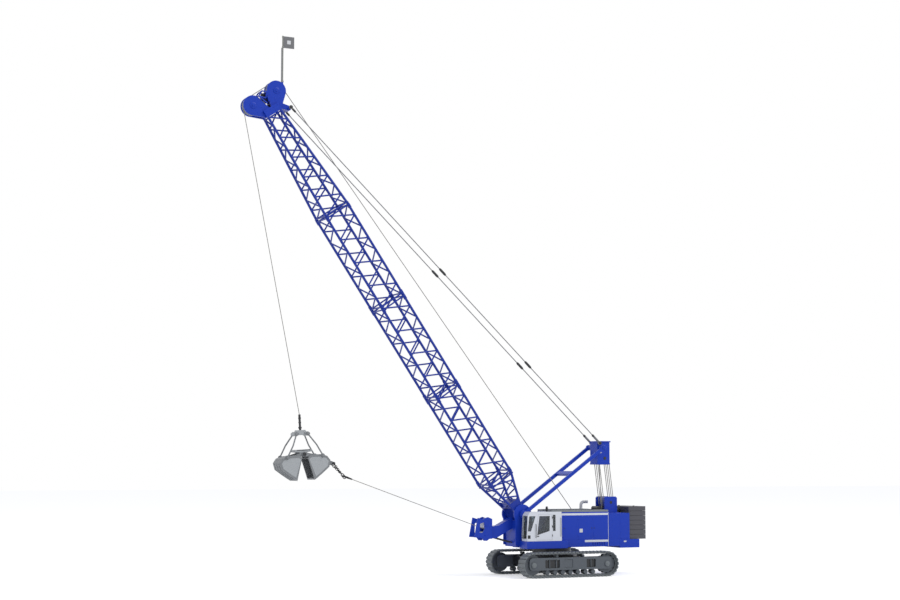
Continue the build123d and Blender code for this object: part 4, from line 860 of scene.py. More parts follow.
def make_walkways():
    """Walkways of the houses and the cab's rear, softened, with low bars across, and the exhaust's pipe."""
    softened("walkway_paint", "roof_walkways", width=0.2)
    pitch = sizes().tread_pitch
    runs = {
        "left": (-69.6, 2.8, 19.6, 33.3),
        "right": (-69.6, 2.8, -33.3, -19.6),
        "cab": (7.0, 20.2, 25.0, 39.3),
    }
    for name, (back, front, low, high) in runs.items():
        x = np.arange(back, front, pitch)
        bar = box((0, low, WALKWAY_Z), (pitch * 0.42, high, WALKWAY_Z + 0.35), 0.08)
        row = copies(bar, np.stack([x, 0 * x, 0 * x], -1))
        put("tread_bars_" + name, row, "superstructure", "walkway_paint")
    bends = [(-60, WALKWAY_Z), (-60, 86.0), (-60.6, 88.2), (-62.2, 89.9), (-64.6, 90.5), (-69.9, 90.5)]
    share = np.linspace(0, 5, 26)
    x, z = (np.interp(share, np.arange(6), [bend[k] for bend in bends]) for k in (0, 1))
    pipe = tube(np.stack([x, np.full(26, -24.0), z], -1), 2.1, 20)
    collar = turned([(2.9, 0), (2.9, 0.9), (2.4, 1.2)], (-60, -24, WALKWAY_Z - 0.1), Z_AXIS, 24)
    mouth = turned([(2.2, -0.4), (2.2, 0.35), (1.8, 0.35), (1.7, -0.3)], (-69.9, -24, 90.5), -X_AXIS, 24)
    put("exhaust_pipe", joined(pipe, collar, mouth), "superstructure", "bare_film", 40, ("exhaust",))


def make_counterweight():
    """Ballast slabs with barely softened edges, and the heads of two tie rods on the top one."""
    softened("graphite_enamel", "counterweight", width=0.12)
    heads = dome_screws([(-119.1, y, 84.8) for y in (-20.0, 20.0)], Z_AXIS, 1.6, 0.8, 6)
    put("tie_rod_heads", heads, "superstructure", "dark_enamel")


# A-frame, reeving and ropes


def leg_point(along, offset, y=0.0):
    """A point along an A-frame leg from the pivot, and off it to the rear side."""
    return PIVOT + LEG_D * along + LEG_N * offset + y * Y_AXIS


def make_a_frame():
    """A-frame and upper sheaves, softened, with bosses, screws, flanges, pale dots, pins and nuts."""
    softened("blue_enamel", "aframe_leg_left", "aframe_leg_right", "aframe_cross", "aframe_head", width=0.3)
    softened("dark_enamel", "upper_sheaves", width=0.2)
    axle = leg_point(154.5, 0)
    boss = button((axle[0], 22.6, axle[2]), (3.3, 0.7, 2.6, 1.1, 0.3), 24)
    screws = dome_screws([leg_point(s, 0, 22.65) for s in (88.5, 93.0, 97.5)], Y_AXIS, 0.6, 0.4)
    put("leg_bosses", both_sides(boss, screws), "a_frame", "blue_enamel")
    flange = joined(
        side_plate(rectangle(-88.6, 173.2, -66.6, 174.8, 0.4), -10.9, 21.8, 0.2),
        side_plate(rectangle(-87.9, 142.4, -67.2, 144.0, 0.3), -10.6, 21.2, 0.2),
    )
    put("head_flanges", flange, "a_frame", "blue_enamel")
    dots = joined(
        button((-75.5, 9.95, 166.0), (1.3, 0.3, 0.9, 0.5, 0.2), 16),
        turned([(0.9, 0), (0.9, 0.3), (0.2, 0.4)], (-73.4, 9.95, 158.8), Y_AXIS, 12),
    )
    put("head_dots", both_sides(dots), "a_frame", "bare_film")
    pin = turned([(2.2, 0), (2.2, 0.4), (0.3, 0.7)], A_HEAD_SPOT + 9.95 * Y_AXIS, Y_AXIS, 20)
    put("head_pins", both_sides(pin), "a_frame", "dark_enamel")
    nuts = button(PENDANT_LOW + 1.5 * Y_AXIS, (2.2, 0.6, 1.4, 0.9, 0.3), 6)
    put("anchor_nuts", both_sides(nuts), "a_frame", "dark_enamel")


def make_lower_block():
    """Lower reeving block in its blue housing, with dark pin heads and two screwed feet."""
    softened("blue_enamel", "lower_block", width=0.3)
    pin = turned([(2.0, 0), (2.0, 0.4), (0.3, 0.7)], BLOCK_SPOT + 12.65 * Y_AXIS, Y_AXIS, 20)
    put("block_pins", both_sides(pin), "superstructure", "dark_enamel")
    feet = dome_screws([(x, y, 76.0) for x in (-94.5, -79.5) for y in (-14.6, 14.6)], Z_AXIS, 0.7, 0.5)
    foot = joined(*[box((-98.0, y, DECK_Z), (-76.0, y + 2.6, 76.6), 0.15) for y in (-15.6, 13.0)])
    put("block_feet", joined(feet, foot), "superstructure", "blue_enamel")


def rope_line(start, end, sides=6, strands=3):
    """A straight twisted rope: three strands, each a helix about the line through start and end, with
    point = start + s d + r (cos(2 pi s / lay + p) u + sin(2 pi s / lay + p) v)."""
    radius = sizes().rope / 2
    lay = sizes().rope_lay
    strand = radius * 0.54
    reach = np.linalg.norm(end - start)
    d = (end - start) / reach
    u = unit(np.cross(Y_AXIS, d))
    v = np.cross(d, u)
    s = np.linspace(0, reach, max(3, int(reach / lay * 6) + 1))
    made = []
    for number in range(strands):
        a = 2 * np.pi * (s / lay + number / strands)
        path = start + s[:, None] * d + (radius - strand) * (np.cos(a)[:, None] * u + np.sin(a)[:, None] * v)
        made.append(tube(path, strand, sides, u))
    return joined(*made)


def arc_rope(centre, radius, from_angle, to_angle, y=0.0, count=40):
    """Rope round a sheave in the upright plane: centre + radius (cos a, sin a) between two angles."""
    a = np.radians(np.linspace(from_angle, to_angle, count))
    path = np.stack([centre[0] + radius * np.cos(a), np.full(count, y), centre[2] + radius * np.sin(a)], -1)
    return tube(path, sizes().rope / 2)


def straight_rope(start, end):
    """A straight rope with one ring at each end."""
    return tube([start, end], sizes().rope / 2)


def tangent(centre, eye, radius):
    """Where a rope to an eye leaves a sheave, its angle and its direction: the angle to the eye turned by the
    arc tangent of the radius over the free run. A negative radius leaves the sheave on the other side."""
    reach = eye - centre
    run = math.sqrt(reach @ reach - radius**2)
    angle = math.atan2(reach[2], reach[0]) + math.atan2(radius, run)
    d = np.array([math.cos(angle), 0.0, math.sin(angle)])
    return eye - d * run, angle, d


def make_reeving():
    """Luffing ropes between the lower block and the A-frame's head, with their turns round the sheaves."""
    lines, wraps_high, wraps_low = [], [], []
    for y in np.linspace(-7.0, 7.0, 4):
        for side in (1, -1):
            offset = (side * REEVING_RADIUS, y, 0)
            lines.append(straight_rope(BLOCK_SPOT + offset, A_HEAD_SPOT + offset))
        wraps_high.append(arc_rope(A_HEAD_SPOT, REEVING_RADIUS, 0, 180, y))
        wraps_low.append(arc_rope(BLOCK_SPOT, REEVING_RADIUS, 180, 360, y))
    lines.append(straight_rope((-75.6, 7.0, 76.2), A_HEAD_SPOT + (REEVING_RADIUS, 7.0, 0)))
    span = ("superstructure", "a_frame", (-83, 0, 92.0), (-80, 0, 150.0))
    put("reeving", joined(*lines), span, "twisted_thread")
    put("reeving_high", joined(*wraps_high), "a_frame", "twisted_thread")
    put("reeving_low", joined(*wraps_low), "superstructure", "twisted_thread")


# Boom, its head, the flag and the pendants


def boom_point(along, offset, y=0.0):
    """A point from a distance along the boom and an offset to its upper side."""
    return PIVOT + BOOM_D * along + BOOM_N * offset + y * Y_AXIS


# The four chords: upper or lower side of the boom, and cab side or far side
CORNERS = ((1, 1), (1, -1), (-1, -1), (-1, 1))
# Boom sections: node, start, end, half depth and half width at the start and at the end, bays
SECTIONS = (
    ("boom_foot", 12.0, 57.0, (6.0, 14.1), (BOOM_HALF, BOOM_HALF), 2),
    ("boom_insert_1", 57.0, 198.0, (BOOM_HALF, BOOM_HALF), (BOOM_HALF, BOOM_HALF), 4),
    ("boom_insert_2", 198.0, 339.0, (BOOM_HALF, BOOM_HALF), (BOOM_HALF, BOOM_HALF), 4),
    ("boom_insert_3", 339.0, 480.0, (BOOM_HALF, BOOM_HALF), (BOOM_HALF, BOOM_HALF), 4),
    ("boom_top", 480.0, 628.0, (BOOM_HALF, BOOM_HALF), (10.2, 7.6), 5),
)


def lattice(start, end, half_start, half_end, bays):
    """One boom section: four chord tubes, an end frame each way and zigzag tubes, 2 steps a bay.

    A corner at a share of the length is start + share (end - start), its depth and width changing evenly."""

    def corner(share, signs):
        depth = half_start[0] + (half_end[0] - half_start[0]) * share
        width = half_start[1] + (half_end[1] - half_start[1]) * share
        return boom_point(start + (end - start) * share, signs[0] * depth, signs[1] * width)

    steps = 2 * bays
    thin = []
    for first, second in zip(CORNERS, CORNERS[1:] + CORNERS[:1]):
        for share in (0.5 / steps / bays, 1 - 0.5 / steps / bays):
            thin.append((corner(share, first), corner(share, second)))
        for step in range(steps):
            near, far = (first, second) if step % 2 == 0 else (second, first)
            thin.append((corner(step / steps, near), corner((step + 1) / steps, far)))
    thick = [(corner(0, signs), corner(1, signs)) for signs in CORNERS]
    chords = bars([a for a, b in thick], [b for a, b in thick], sizes().chord / 2, 20)
    lacing = bars([a for a, b in thin], [b for a, b in thin], sizes().lacing / 2, 12)
    return joined(chords, lacing)


def corner_spots(station):
    """The middles of the four chords at a distance along the inserts."""
    return [boom_point(station, up * BOOM_HALF, side * BOOM_HALF) for up, side in CORNERS]


def sleeves(station):
    """Four connector sleeves at one end of an insert: turned collars on the chords, each with a cross pin."""
    collar = turned([(1.7, 0), (2.3, 0.35), (2.3, 6.65), (1.7, 7.0)], (0, 0, 0), BOOM_D, 20)
    middle = corner_spots(station + 3.5)
    pins = bars([m - 2.9 * Y_AXIS for m in middle], [m + 2.9 * Y_AXIS for m in middle], 0.8, 10)
    return joined(copies(collar, corner_spots(station)), pins)


def make_boom():
    """The boom's lattice in round tubes, section by section, with sleeves, pins, nuts and the foot's lugs."""
    for node, start, end, half_start, half_end, bays in SECTIONS:
        shapes = [lattice(start, end, half_start, half_end, bays)]
        if node.startswith("boom_insert"):
            shapes += [sleeves(start), sleeves(end - 7.0)]
        if node == "boom_foot":
            turn = np.radians(np.linspace(90, 270, 19))
            arc = 7.5 * np.stack([np.cos(turn), np.sin(turn)], -1)
            eye = np.concatenate([[(20.0, -7.5), (20.0, 7.5)], arc])
            lug = plate(eye, PIVOT + 16.0 * Y_AXIS, BOOM_D, BOOM_N, 3.0, 0.25)
            profile = [(5.6, -0.15), (5.6, 0.25), (5.2, 0.25), (3.2, 0.25)]
            ring = turned(profile, PIVOT + 12.9 * Y_AXIS, -Y_AXIS, 28)
            beam = rectangle(13.5, -6.5, 20.5, 6.5, 0.4)
            cross = plate(beam, PIVOT + 15.5 * Y_AXIS, BOOM_D, BOOM_N, 31.0, 0.3)
            shapes += [both_sides(lug, ring), cross]
        # The lattice's darker blue is painted shade
        put(node + "_tubes", joined(*shapes), "boom", "blue_enamel_lattice", 40, (node,))
    nut = turned([(2.1, 0), (2.1, 1.6), (1.7, 2.0)], (0, 0, 0), BOOM_D, 6)
    put("splice_nuts", copies(nut, corner_spots(54.0) + corner_spots(480.3)), "boom", "blue_enamel_lattice")


def make_boom_head():
    """Boom head: softened cheeks and sheaves, hub caps, screws, nuts, guards, the bar frame and lamps."""
    softened("blue_enamel", "boom_head", width=0.25)
    softened("satin_cast_paint", "head_sheaves", width=0.15)
    shapes = []
    for along, offset in (FRONT_DISC, REAR_DISC):
        hub = boom_point(along, offset, 6.3)
        shapes.append(turned([(4.4, -0.2), (4.4, 0.5), (3.8, 0.9), (2.0, 0.9)], hub, Y_AXIS, 28))
        shapes.append(turned([(1.9, -0.2), (1.9, 1.2), (1.4, 1.6), (0.3, 1.6)], hub, Y_AXIS, 20))
        start = math.radians(BOOM_ANGLE)
        shapes.append(screw_ring(boom_point(along, offset, 6.35), 11.3, 8, 0.55, 0.4, start))
    spots = [boom_point(s, o, 9.25) for s in (630.5, 635.5) for o in (-9.0, -3.0, 3.0, 9.0)]
    shapes.append(dome_screws(spots, Y_AXIS, 0.6, 0.45))
    put("head_caps", both_sides(*shapes), "boom", "blue_enamel")
    nut = button(boom_point(624.0, 22.5, 12.95), (2.1, 0.8, 1.2, 1.1, 0.3), 6)
    put("head_pins", both_sides(nut), "boom", "dark_enamel")
    guards = []
    for along, offset in (FRONT_DISC, REAR_DISC):
        for turn in (0.0, 70.0 if offset < 0 else -70.0):
            a = math.radians(turn)
            spot = boom_point(along + 12.5 * math.cos(a), offset + 12.5 * math.sin(a))
            guards.append(bars([spot - 4.9 * Y_AXIS], [spot + 4.9 * Y_AXIS], 0.45, 8))
    put("rope_guards", joined(*guards), "boom", "dark_enamel")
    knots = [(644.0, -1.0), (657.5, -6.0), (661.0, 1.5), (657.0, 6.5), (645.0, 2.5), (650.5, 1.0)]
    corners = [boom_point(s, o) for s, o in knots]
    low = [corners[k] for k in (0, 1, 2, 3, 5, 5)]
    high = [corners[k] for k in (1, 2, 3, 4, 1, 3)]
    stays = [bars([p + y * Y_AXIS for p in low], [p + y * Y_AXIS for p in high], 0.9, 8) for y in (-7.2, 7.2)]
    ties = bars([p - 7.2 * Y_AXIS for p in corners[1:4]], [p + 7.2 * Y_AXIS for p in corners[1:4]], 0.8, 8)
    outline = [(644.5, -0.6), (654.0, -3.4), (658.5, 1.0), (655.5, 5.6), (645.5, 2.2)]
    web = plate(outline, PIVOT + 0.6 * Y_AXIS, BOOM_D, BOOM_N, 1.2)
    put("head_web", web, "boom", "dark_enamel")
    put("head_frame", joined(ties, *stays), "boom", "blue_enamel")
    shade = turned([(1.5, 0), (2.2, 1.0), (2.4, 3.2), (2.1, 3.4)], (0, 0, 0), BOOM_D, 20)
    glass = turned([(2.0, 3.2), (2.0, 3.45), (1.2, 3.8), (0.2, 3.9)], (0, 0, 0), BOOM_D, 20)
    spots, low, high = ([boom_point(along, o) for o in (-2.9, 2.9)] for along in (638.2, 636.0, 639.0))
    bracket = bars(low, high, 0.9, 8)
    put("head_lamps", joined(copies(shade, spots), bracket), "boom", "black_abs")
    put("head_lenses", copies(glass, spots), "boom", "lens_styrene")


def make_flag():
    """Mast with its foot, strip and clips, and the flag's plate with a blank pale square on both faces."""
    painted("mast_enamel", "flag_mast")
    softened("flag_plastic", "flag_plate", width=0.15)
    mast_x = boom_point(*REAR_DISC)[0] - 8.4
    top = boom_point(*REAR_DISC)[2] + 73.6
    profile = [(1.15, 0), (1.25, 0.2), (1.25, 0.9), (1.15, 1.1)]
    clips = [turned(profile, (mast_x, 5.3, top - below), Z_AXIS, 16) for below in (15.2, 2.2)]
    foot = turned([(1.6, 0), (1.6, 1.2), (1.1, 2.4)], (mast_x, 5.3, top - 61.6), Z_AXIS, 16)
    strip = box((mast_x + 0.7, 5.0, top - 61.6), (mast_x + 2.1, 5.6, top - 16.0), 0.1)
    put("mast_strip", strip, "boom", "bar_enamel")
    put("mast_clips", joined(foot, *clips), "boom", "mast_enamel")
    square = rectangle(mast_x - 10.7, top - 10.6, mast_x - 5.7, top - 5.6, 0.4)
    faces = [side_plate(square, y, 0.13, 0.03) for y in (5.75, 4.72)]
    put("flag_square", joined(*faces), "boom", "bare_film")


def make_pendants():
    """Pendant bars, softened, with dark turned joints along them and at both ends."""
    softened("bar_enamel", "pendants", width=0.2)
    high = boom_point(624.0, 22.5, 12.0)
    d = unit(high - PENDANT_LOW)
    reach = np.linalg.norm(high - PENDANT_LOW)
    half = [(1.7, 4.4), (1.5, 4.6), (1.5, 5.6), (0.9, 6.4)]
    profile = [(radius, -along) for radius, along in half[::-1]] + half
    knots = [turned(profile, PENDANT_LOW + d * reach * share, d, 10) for share in (0.245, 0.526)]
    knots.append(turned([(0.9, 13.2), (1.7, 13.8), (1.7, 15.4), (0.8, 17.0)], PENDANT_LOW, d, 10))
    knots.append(turned([(0.8, -9.0), (1.4, -8.0), (1.4, -3.6), (1.0, -2.8)], high, d, 10))
    put("pendant_joints", both_sides(*knots), "boom", "dark_enamel")


def make_hoist_rope():
    """Hoist rope: down to the grab, over both head sheaves, and back past the boom to the rear drum."""
    front = boom_point(*FRONT_DISC)
    rear = boom_point(*REAR_DISC)
    top, _, d = tangent(front, SOCKET_EYE, -HEAD_SHEAVE_RADIUS)
    rope = rope_line(top, SOCKET_EYE - 1.2 * d)
    put("hoist_rope_strands", rope, body_of_node["hoist_rope"], "twisted_thread", 40, ("hoist_rope",))
    leave = math.degrees(math.atan2(top[2] - front[2], top[0] - front[0]))
    back = 142.0
    wraps = joined(
        arc_rope(front, HEAD_SHEAVE_RADIUS, leave, BOOM_ANGLE),
        straight_rope(front + HEAD_SHEAVE_RADIUS * BOOM_D, rear + HEAD_SHEAVE_RADIUS * BOOM_D),
        arc_rope(rear, HEAD_SHEAVE_RADIUS, BOOM_ANGLE, back),
    )
    put("hoist_rope_wraps", wraps, "boom", "twisted_thread")
    low = np.array([-30.0, 0.0, 82.7])
    high = rear + HEAD_SHEAVE_RADIUS * upright(back)[0]
    span = ("superstructure", "boom", tuple(low), tuple(high))
    put("hoist_rope_rear", straight_rope(low, high), span, "twisted_thread")
    put("hoist_rope_lead", straight_rope((-46.4, 0, 60.2), low), "superstructure", "twisted_thread")


# Grab and drag rope

LINKS = 8
# The panel in plain satin grey on the front shell's side, paler than the shell's painted shade: its corners'
# distances forward of the hinge, and above it
SHELL_PANEL = np.stack(
    [(9.2, 21.9, 28.6, 31.6, 30.0, 20.0, 13.4, 5.4), (-4.2, -4.2, -6.4, -10.4, -16.9, -24.7, -29.2, -6.4)], -1
)


def grab_point(forward, up, y=0.0):
    """A point from a place in the grab's own upright plane through the shells' hinge."""
    return HINGE + GRAB_FORWARD * forward + GRAB_UP * up + y * Y_AXIS


def grab_plate(outline, y, thickness, edge=0.12):
    """A plate in the grab's upright plane, from y to y + thickness."""
    return plate(outline, HINGE + (y + thickness) * Y_AXIS, GRAB_FORWARD, GRAB_UP, thickness, edge)


def make_grab():
    """Grab: softened shells in painted-shade grey with paler side panels, lips, ribs and pins; rods,
    crosshead, block, socket.
    """
    # Shells and rods take the darker rim grey as painted shade; the side panels keep the plain grey
    softened("rim_cast_paint", "grab_shell_front", "grab_shell_rear", width=0.25)
    softened("satin_cast_paint", "grab_crosshead", "grab_block", width=0.2)
    softened("rim_cast_paint", "grab_rods_front", "grab_rods_rear", width=0.2)
    softened("dark_enamel", "rope_socket", width=0.15)
    for sign, label in ((1, "front"), (-1, "rear")):
        body = body_of_node["grab_shell_" + label]
        side = np.array((sign, 1.0))
        panel = grab_plate(SHELL_PANEL * side, 13.9, 0.35, 0.15)
        put("shell_panels_" + label, both_sides(panel), body, "satin_cast_paint")
        back = [(34.2, -9.8), (32.2, -18.2), (21.4, -26.7), (13.4, -32.2)]
        ribs = [tube([grab_point(sign * x, z, y) for x, z in back], 0.75, 8) for y in (-8.8, 0.0, 8.8)]
        edge = np.array([(11.8, -33.2), (17.2, -29.6), (16.6, -28.7), (11.9, -31.9)])
        lip = grab_plate(edge * side, -14.1, 28.2, 0.1)
        put("shell_ribs_" + label, joined(lip, *ribs), body, "rim_cast_paint")
        profile = [(1.7, -0.3), (1.7, 0.5), (1.2, 0.9), (0.2, 0.9)]
        pin = turned(profile, grab_point(sign * 24.0, -3.0, 16.0), Y_AXIS, 16)
        boss = button(grab_point(sign * 24.0, -3.0, 13.9), (2.8, 0.6, 2.2, 0.9, 1.2), 20)
        put("shell_pins_" + label, both_sides(pin, boss), body, "rim_cast_paint")
        top_pin = button(grab_point(sign * 7.8, 26.0, 8.8), (1.9, 0.5, 1.3, 0.9, 0.2), 16)
        put("rod_pins_" + label, both_sides(top_pin), body_of_node["grab_crosshead"], "rim_cast_paint")
    hinge = button(grab_point(0, 0, 12.55), (2.4, 0.4, 1.6, 0.8, 0.2), 20)
    frame_lines = [grab_plate(rectangle(-9.0, 4.9, 9.0, 5.6), y, 0.5, 0.1) for y in (-9.3, 8.8)]
    put("block_fittings", joined(both_sides(hinge), *frame_lines), body_of_node["grab_block"], "dark_enamel")
    wide = [(2.1, 0), (2.3, 0.3), (2.3, 1.7), (2.1, 2.0)]
    slim = [(1.7, 0), (1.9, 0.2), (1.9, 1.2), (1.7, 1.4)]
    collars = [
        turned(p, grab_point(0, z), GRAB_UP, 20) for p, z in ((wide, 33.0), (slim, 40.0), (slim, 45.6))
    ]
    put("socket_collars", joined(*collars), body_of_node["rope_socket"], "dark_enamel")
    bolts = dome_screws([grab_point(x, 27.0, 4.4) for x in (-4.0, 4.0)], Y_AXIS, 0.7, 0.5, 6)
    put("crosshead_bolts", both_sides(bolts), body_of_node["grab_crosshead"], "rim_cast_paint")


def chain_link(long, wide, wire):
    """A link along X in the plane of X and Z: round wire carried along two straights and two half circles."""
    turn = np.radians(np.linspace(-90, 90, 9))
    radius = (wide - wire) / 2
    half = (long - wide) / 2
    x = np.concatenate([half + radius * np.cos(turn), -half - radius * np.cos(turn)])
    z = np.concatenate([radius * np.sin(turn), -radius * np.sin(turn)])
    return tube(np.stack([x, 0 * x, z], -1), wire / 2, 8, Y_AXIS, True)


def make_drag_chain():
    """Chain ring and the two chains of round-wire links to the rear shell's lugs."""
    lug = grab_point(-41.3, -14.0)
    d = unit(lug - RING_SPOT)
    side = np.cross(d, Y_AXIS)
    shapes = [copies(chain_link(9.0, 4.4, 1.1), [RING_SPOT], [np.stack([d, Y_AXIS, side], -1)])]
    for sign in (-1, 1):
        start = RING_SPOT + d * 3.4
        run = lug + sign * 6.45 * Y_AXIS - start
        reach = np.linalg.norm(run)
        ahead = run / reach
        flat = unit(np.cross(ahead, Y_AXIS))
        level = np.cross(flat, ahead)
        pitch = reach / LINKS
        link = chain_link(pitch + 1.44, 2.8, sizes().chain_wire)
        places = start + ahead * ((np.arange(LINKS) + 0.5) * pitch)[:, None]
        even = np.stack([ahead, level, flat], -1)
        odd = np.stack([ahead, -flat, level], -1)
        turns = np.where((np.arange(LINKS) % 2 == 0)[:, None, None], odd, even)
        shapes.append(copies(link, places, turns))
    body = body_of_node["drag_chains"]
    put("chain_links", joined(*shapes), body, "blackened_wire", 60, ("drag_chains",))
    pins = turned([(1.2, 0), (1.2, 3.4), (1.6, 3.4), (1.6, 3.9), (0.3, 4.1)], lug + 4.4 * Y_AXIS, Y_AXIS, 14)
    put("chain_pins", both_sides(pins), body_of_node["grab_shell_rear"], "dark_enamel")


def make_drag_rope():
    """Drag rope of twisted strands with a fork at the ring, and its turn under the fairlead's sheave."""
    start, angle, d = tangent(FAIRLEAD_SHEAVE, RING_SPOT, FAIRLEAD_RADIUS)
    n = np.array([-d[2], 0, d[0]])
    fork = rounded(8.3, 2.2, 1.0, (-2.45, 0.0), 4)
    prong = plate(fork, RING_SPOT + 1.75 * Y_AXIS, d, n, 0.8, 0.1)
    root = plate(rectangle(-6.3, -1.1, -4.7, 1.1, 0.2), RING_SPOT + 1.75 * Y_AXIS, d, n, 3.5, 0.1)
    socket = turned([(0.6, -13.0), (0.95, -12.4), (1.25, -7.0), (1.25, -6.0)], RING_SPOT, d, 14)
    head = turned([(0.9, 0), (0.9, 0.3), (0.2, 0.5)], RING_SPOT + 1.7 * Y_AXIS - 0.2 * d, Y_AXIS, 12)
    body = body_of_node["drag_rope"]
    rope = rope_line(start, RING_SPOT - 7.0 * d)
    put("drag_rope_strands", rope, body, "twisted_thread", 40, ("drag_rope",))
    put("drag_fork", joined(both_sides(prong, head), root, socket), body, "dark_enamel")
    turn = arc_rope(FAIRLEAD_SHEAVE, FAIRLEAD_RADIUS, math.degrees(angle) - 90, -90, count=8)
    bend = joined(turn, straight_rope((103.5, 0, 56.4), (96.0, 0, 56.4)))
    put("drag_rope_bend", bend, "superstructure", "twisted_thread")


# Stage

# The camera's place and target in metres and its lens in mm, for the photograph's angle, and the strengths
# of the floor's own light and the room's
CAMERA_PLACE = (1.0833, 1.9939, 0.1369)
CAMERA_TARGET = (0.1535, 0.0, 0.3632)
LENS = 65.5
FLOOR_GLOW = 0.47
ROOM_LIGHT = 0.62


def looking(place, target):
    """The turn that points an object's own -Z from a place at a target, with Y up."""
    return (Vector(target) - Vector(place)).to_track_quat("-Z", "Y").to_euler()


def lamp(name, place, target, watts, size):
    """A soft square lamp that looks at a target."""
    data = bpy.data.lights.new(name, "AREA")
    data.energy = watts
    data.size = size
    lamp_object = bpy.data.objects.new(name, data)
    bpy.context.scene.collection.objects.link(lamp_object)
    lamp_object.location = place
    lamp_object.rotation_euler = looking(place, target)


def seen(tree):
    """1 for a ray from the camera, a mirror or through glass, and 0 for light that falls on the object."""
    path = add(tree, "ShaderNodeLightPath")
    rays = {0: (path, "Is Camera Ray"), 1: (path, "Is Glossy Ray")}
    first = add(tree, "ShaderNodeMath", None, rays, operation="MAXIMUM")
    rays = {0: (first, 0), 1: (path, "Is Transmission Ray")}
    return add(tree, "ShaderNodeMath", None, rays, operation="MAXIMUM")


def floor_material():
    """Matt pale floor: where a ray from the camera meets it, a little light of its own lifts it to white,
    and the object's shadow stays."""
    made = bpy.data.materials.new("studio_floor")
    made.use_nodes = True
    tree = made.node_tree
    tree.nodes.clear()
    diffuse = add(tree, "ShaderNodeBsdfDiffuse", {"Color": (*colours().floor, 1)})
    strength = add(tree, "ShaderNodeMath", {1: FLOOR_GLOW}, {0: (seen(tree), 0)}, operation="MULTIPLY")
    glow = add(tree, "ShaderNodeEmission", {"Color": (1, 1, 1, 1)}, {"Strength": (strength, 0)})
    both = add(tree, "ShaderNodeAddShader", None, {0: (diffuse, 0), 1: (glow, 0)})
    add(tree, "ShaderNodeOutputMaterial", None, {"Surface": (both, 0)})
    return made


def make_stage():
    """Floor, world, two soft lamps and the camera at the photograph's angle."""
    half = sizes().floor * MM
    mesh = bpy.data.meshes.new("studio_floor")
    z = FLOOR_Z * MM - 0.0002
    corners = [(x * half, y * half, z) for x, y in ((-1, -1), (1, -1), (1, 1), (-1, 1))]
    mesh.from_pydata(corners, [], [(0, 1, 2, 3)])
    mesh.materials.append(floor_material())
    floor = bpy.data.objects.new("studio_floor", mesh)
    scene = bpy.context.scene
    scene.collection.objects.link(floor)
    world = bpy.data.worlds.new("studio")
    scene.world = world
    world.use_nodes = True
    tree = world.node_tree
    tree.nodes.clear()
    soft = add(tree, "ShaderNodeBackground", {"Color": (*linear("#F4F6FA"), 1), "Strength": ROOM_LIGHT})
    white = add(tree, "ShaderNodeBackground", {"Color": (1, 1, 1, 1), "Strength": 1.0})
    mixed = add(tree, "ShaderNodeMixShader", None, {0: (seen(tree), 0), 1: (soft, 0), 2: (white, 0)})
    add(tree, "ShaderNodeOutputWorld", None, {"Surface": (mixed, 0)})
    lamp("key_lamp", (-1.2, 2.0, 2.6), (0.1, 0, 0.3), 36.0, 1.6)
    lamp("fill_lamp", (2.6, 1.8, 1.6), (0.15, 0, 0.25), 8.0, 1.8)
    data = bpy.data.cameras.new("camera")
    data.lens = LENS
    data.sensor_width = 36.0
    data.clip_end = 100.0
    camera = bpy.data.objects.new("camera", data)
    scene.collection.objects.link(camera)
    camera.location = CAMERA_PLACE
    camera.rotation_euler = looking(CAMERA_PLACE, CAMERA_TARGET)
    scene.camera = camera
    scene.view_settings.view_transform = "Standard"


# Add-on


class CRANE_OT_tracks(bpy.types.Operator):
    """Builds both tracks: shoes, link plates, pins and the closed bands"""

    bl_idname = "crane.tracks"
    bl_label = "Tracks"

    def execute(self, context):
        make_tracks()
        return {"FINISHED"}


class CRANE_OT_undercarriage(bpy.types.Operator):
    """Finishes the carbody, side frames, wheels and rollers"""

    bl_idname = "crane.undercarriage"
    bl_label = "Undercarriage"

    def execute(self, context):
        make_undercarriage()
        return {"FINISHED"}


class CRANE_OT_main_frame(bpy.types.Operator):
    """Finishes the slewing frame, its pins and caps"""

    bl_idname = "crane.main_frame"
    bl_label = "Main frame"

    def execute(self, context):
        make_main_frame()
        return {"FINISHED"}


class CRANE_OT_fairlead(bpy.types.Operator):
    """Finishes the fairlead with its pins and stays"""

    bl_idname = "crane.fairlead"
    bl_label = "Fairlead"

    def execute(self, context):
        make_fairlead()
        return {"FINISHED"}


class CRANE_OT_winches(bpy.types.Operator):
    """Finishes the winch drums and winds their rope"""

    bl_idname = "crane.winches"
    bl_label = "Winches"

    def execute(self, context):
        make_winches()
        return {"FINISHED"}


class CRANE_OT_cab(bpy.types.Operator):
    """Finishes the cab with its panes, seals, rails, lining and seat"""

    bl_idname = "crane.cab"
    bl_label = "Cab"

    def execute(self, context):
        make_cab()
        return {"FINISHED"}


class CRANE_OT_house(bpy.types.Operator):
    """Finishes the houses, tank and rear block with stripes, doors and fittings"""

    bl_idname = "crane.house"
    bl_label = "House"

    def execute(self, context):
        make_house()
        return {"FINISHED"}


class CRANE_OT_walkways(bpy.types.Operator):
    """Builds the walkways' ribs and the exhaust"""

    bl_idname = "crane.walkways"
    bl_label = "Walkways"

    def execute(self, context):
        make_walkways()
        return {"FINISHED"}


class CRANE_OT_counterweight(bpy.types.Operator):
    """Finishes the slabs and their tie rods"""

    bl_idname = "crane.counterweight"
    bl_label = "Counterweight"

    def execute(self, context):
        make_counterweight()
        return {"FINISHED"}


class CRANE_OT_a_frame(bpy.types.Operator):
    """Finishes the A-frame and its head"""

    bl_idname = "crane.a_frame"
    bl_label = "A-frame"

    def execute(self, context):
        make_a_frame()
        return {"FINISHED"}


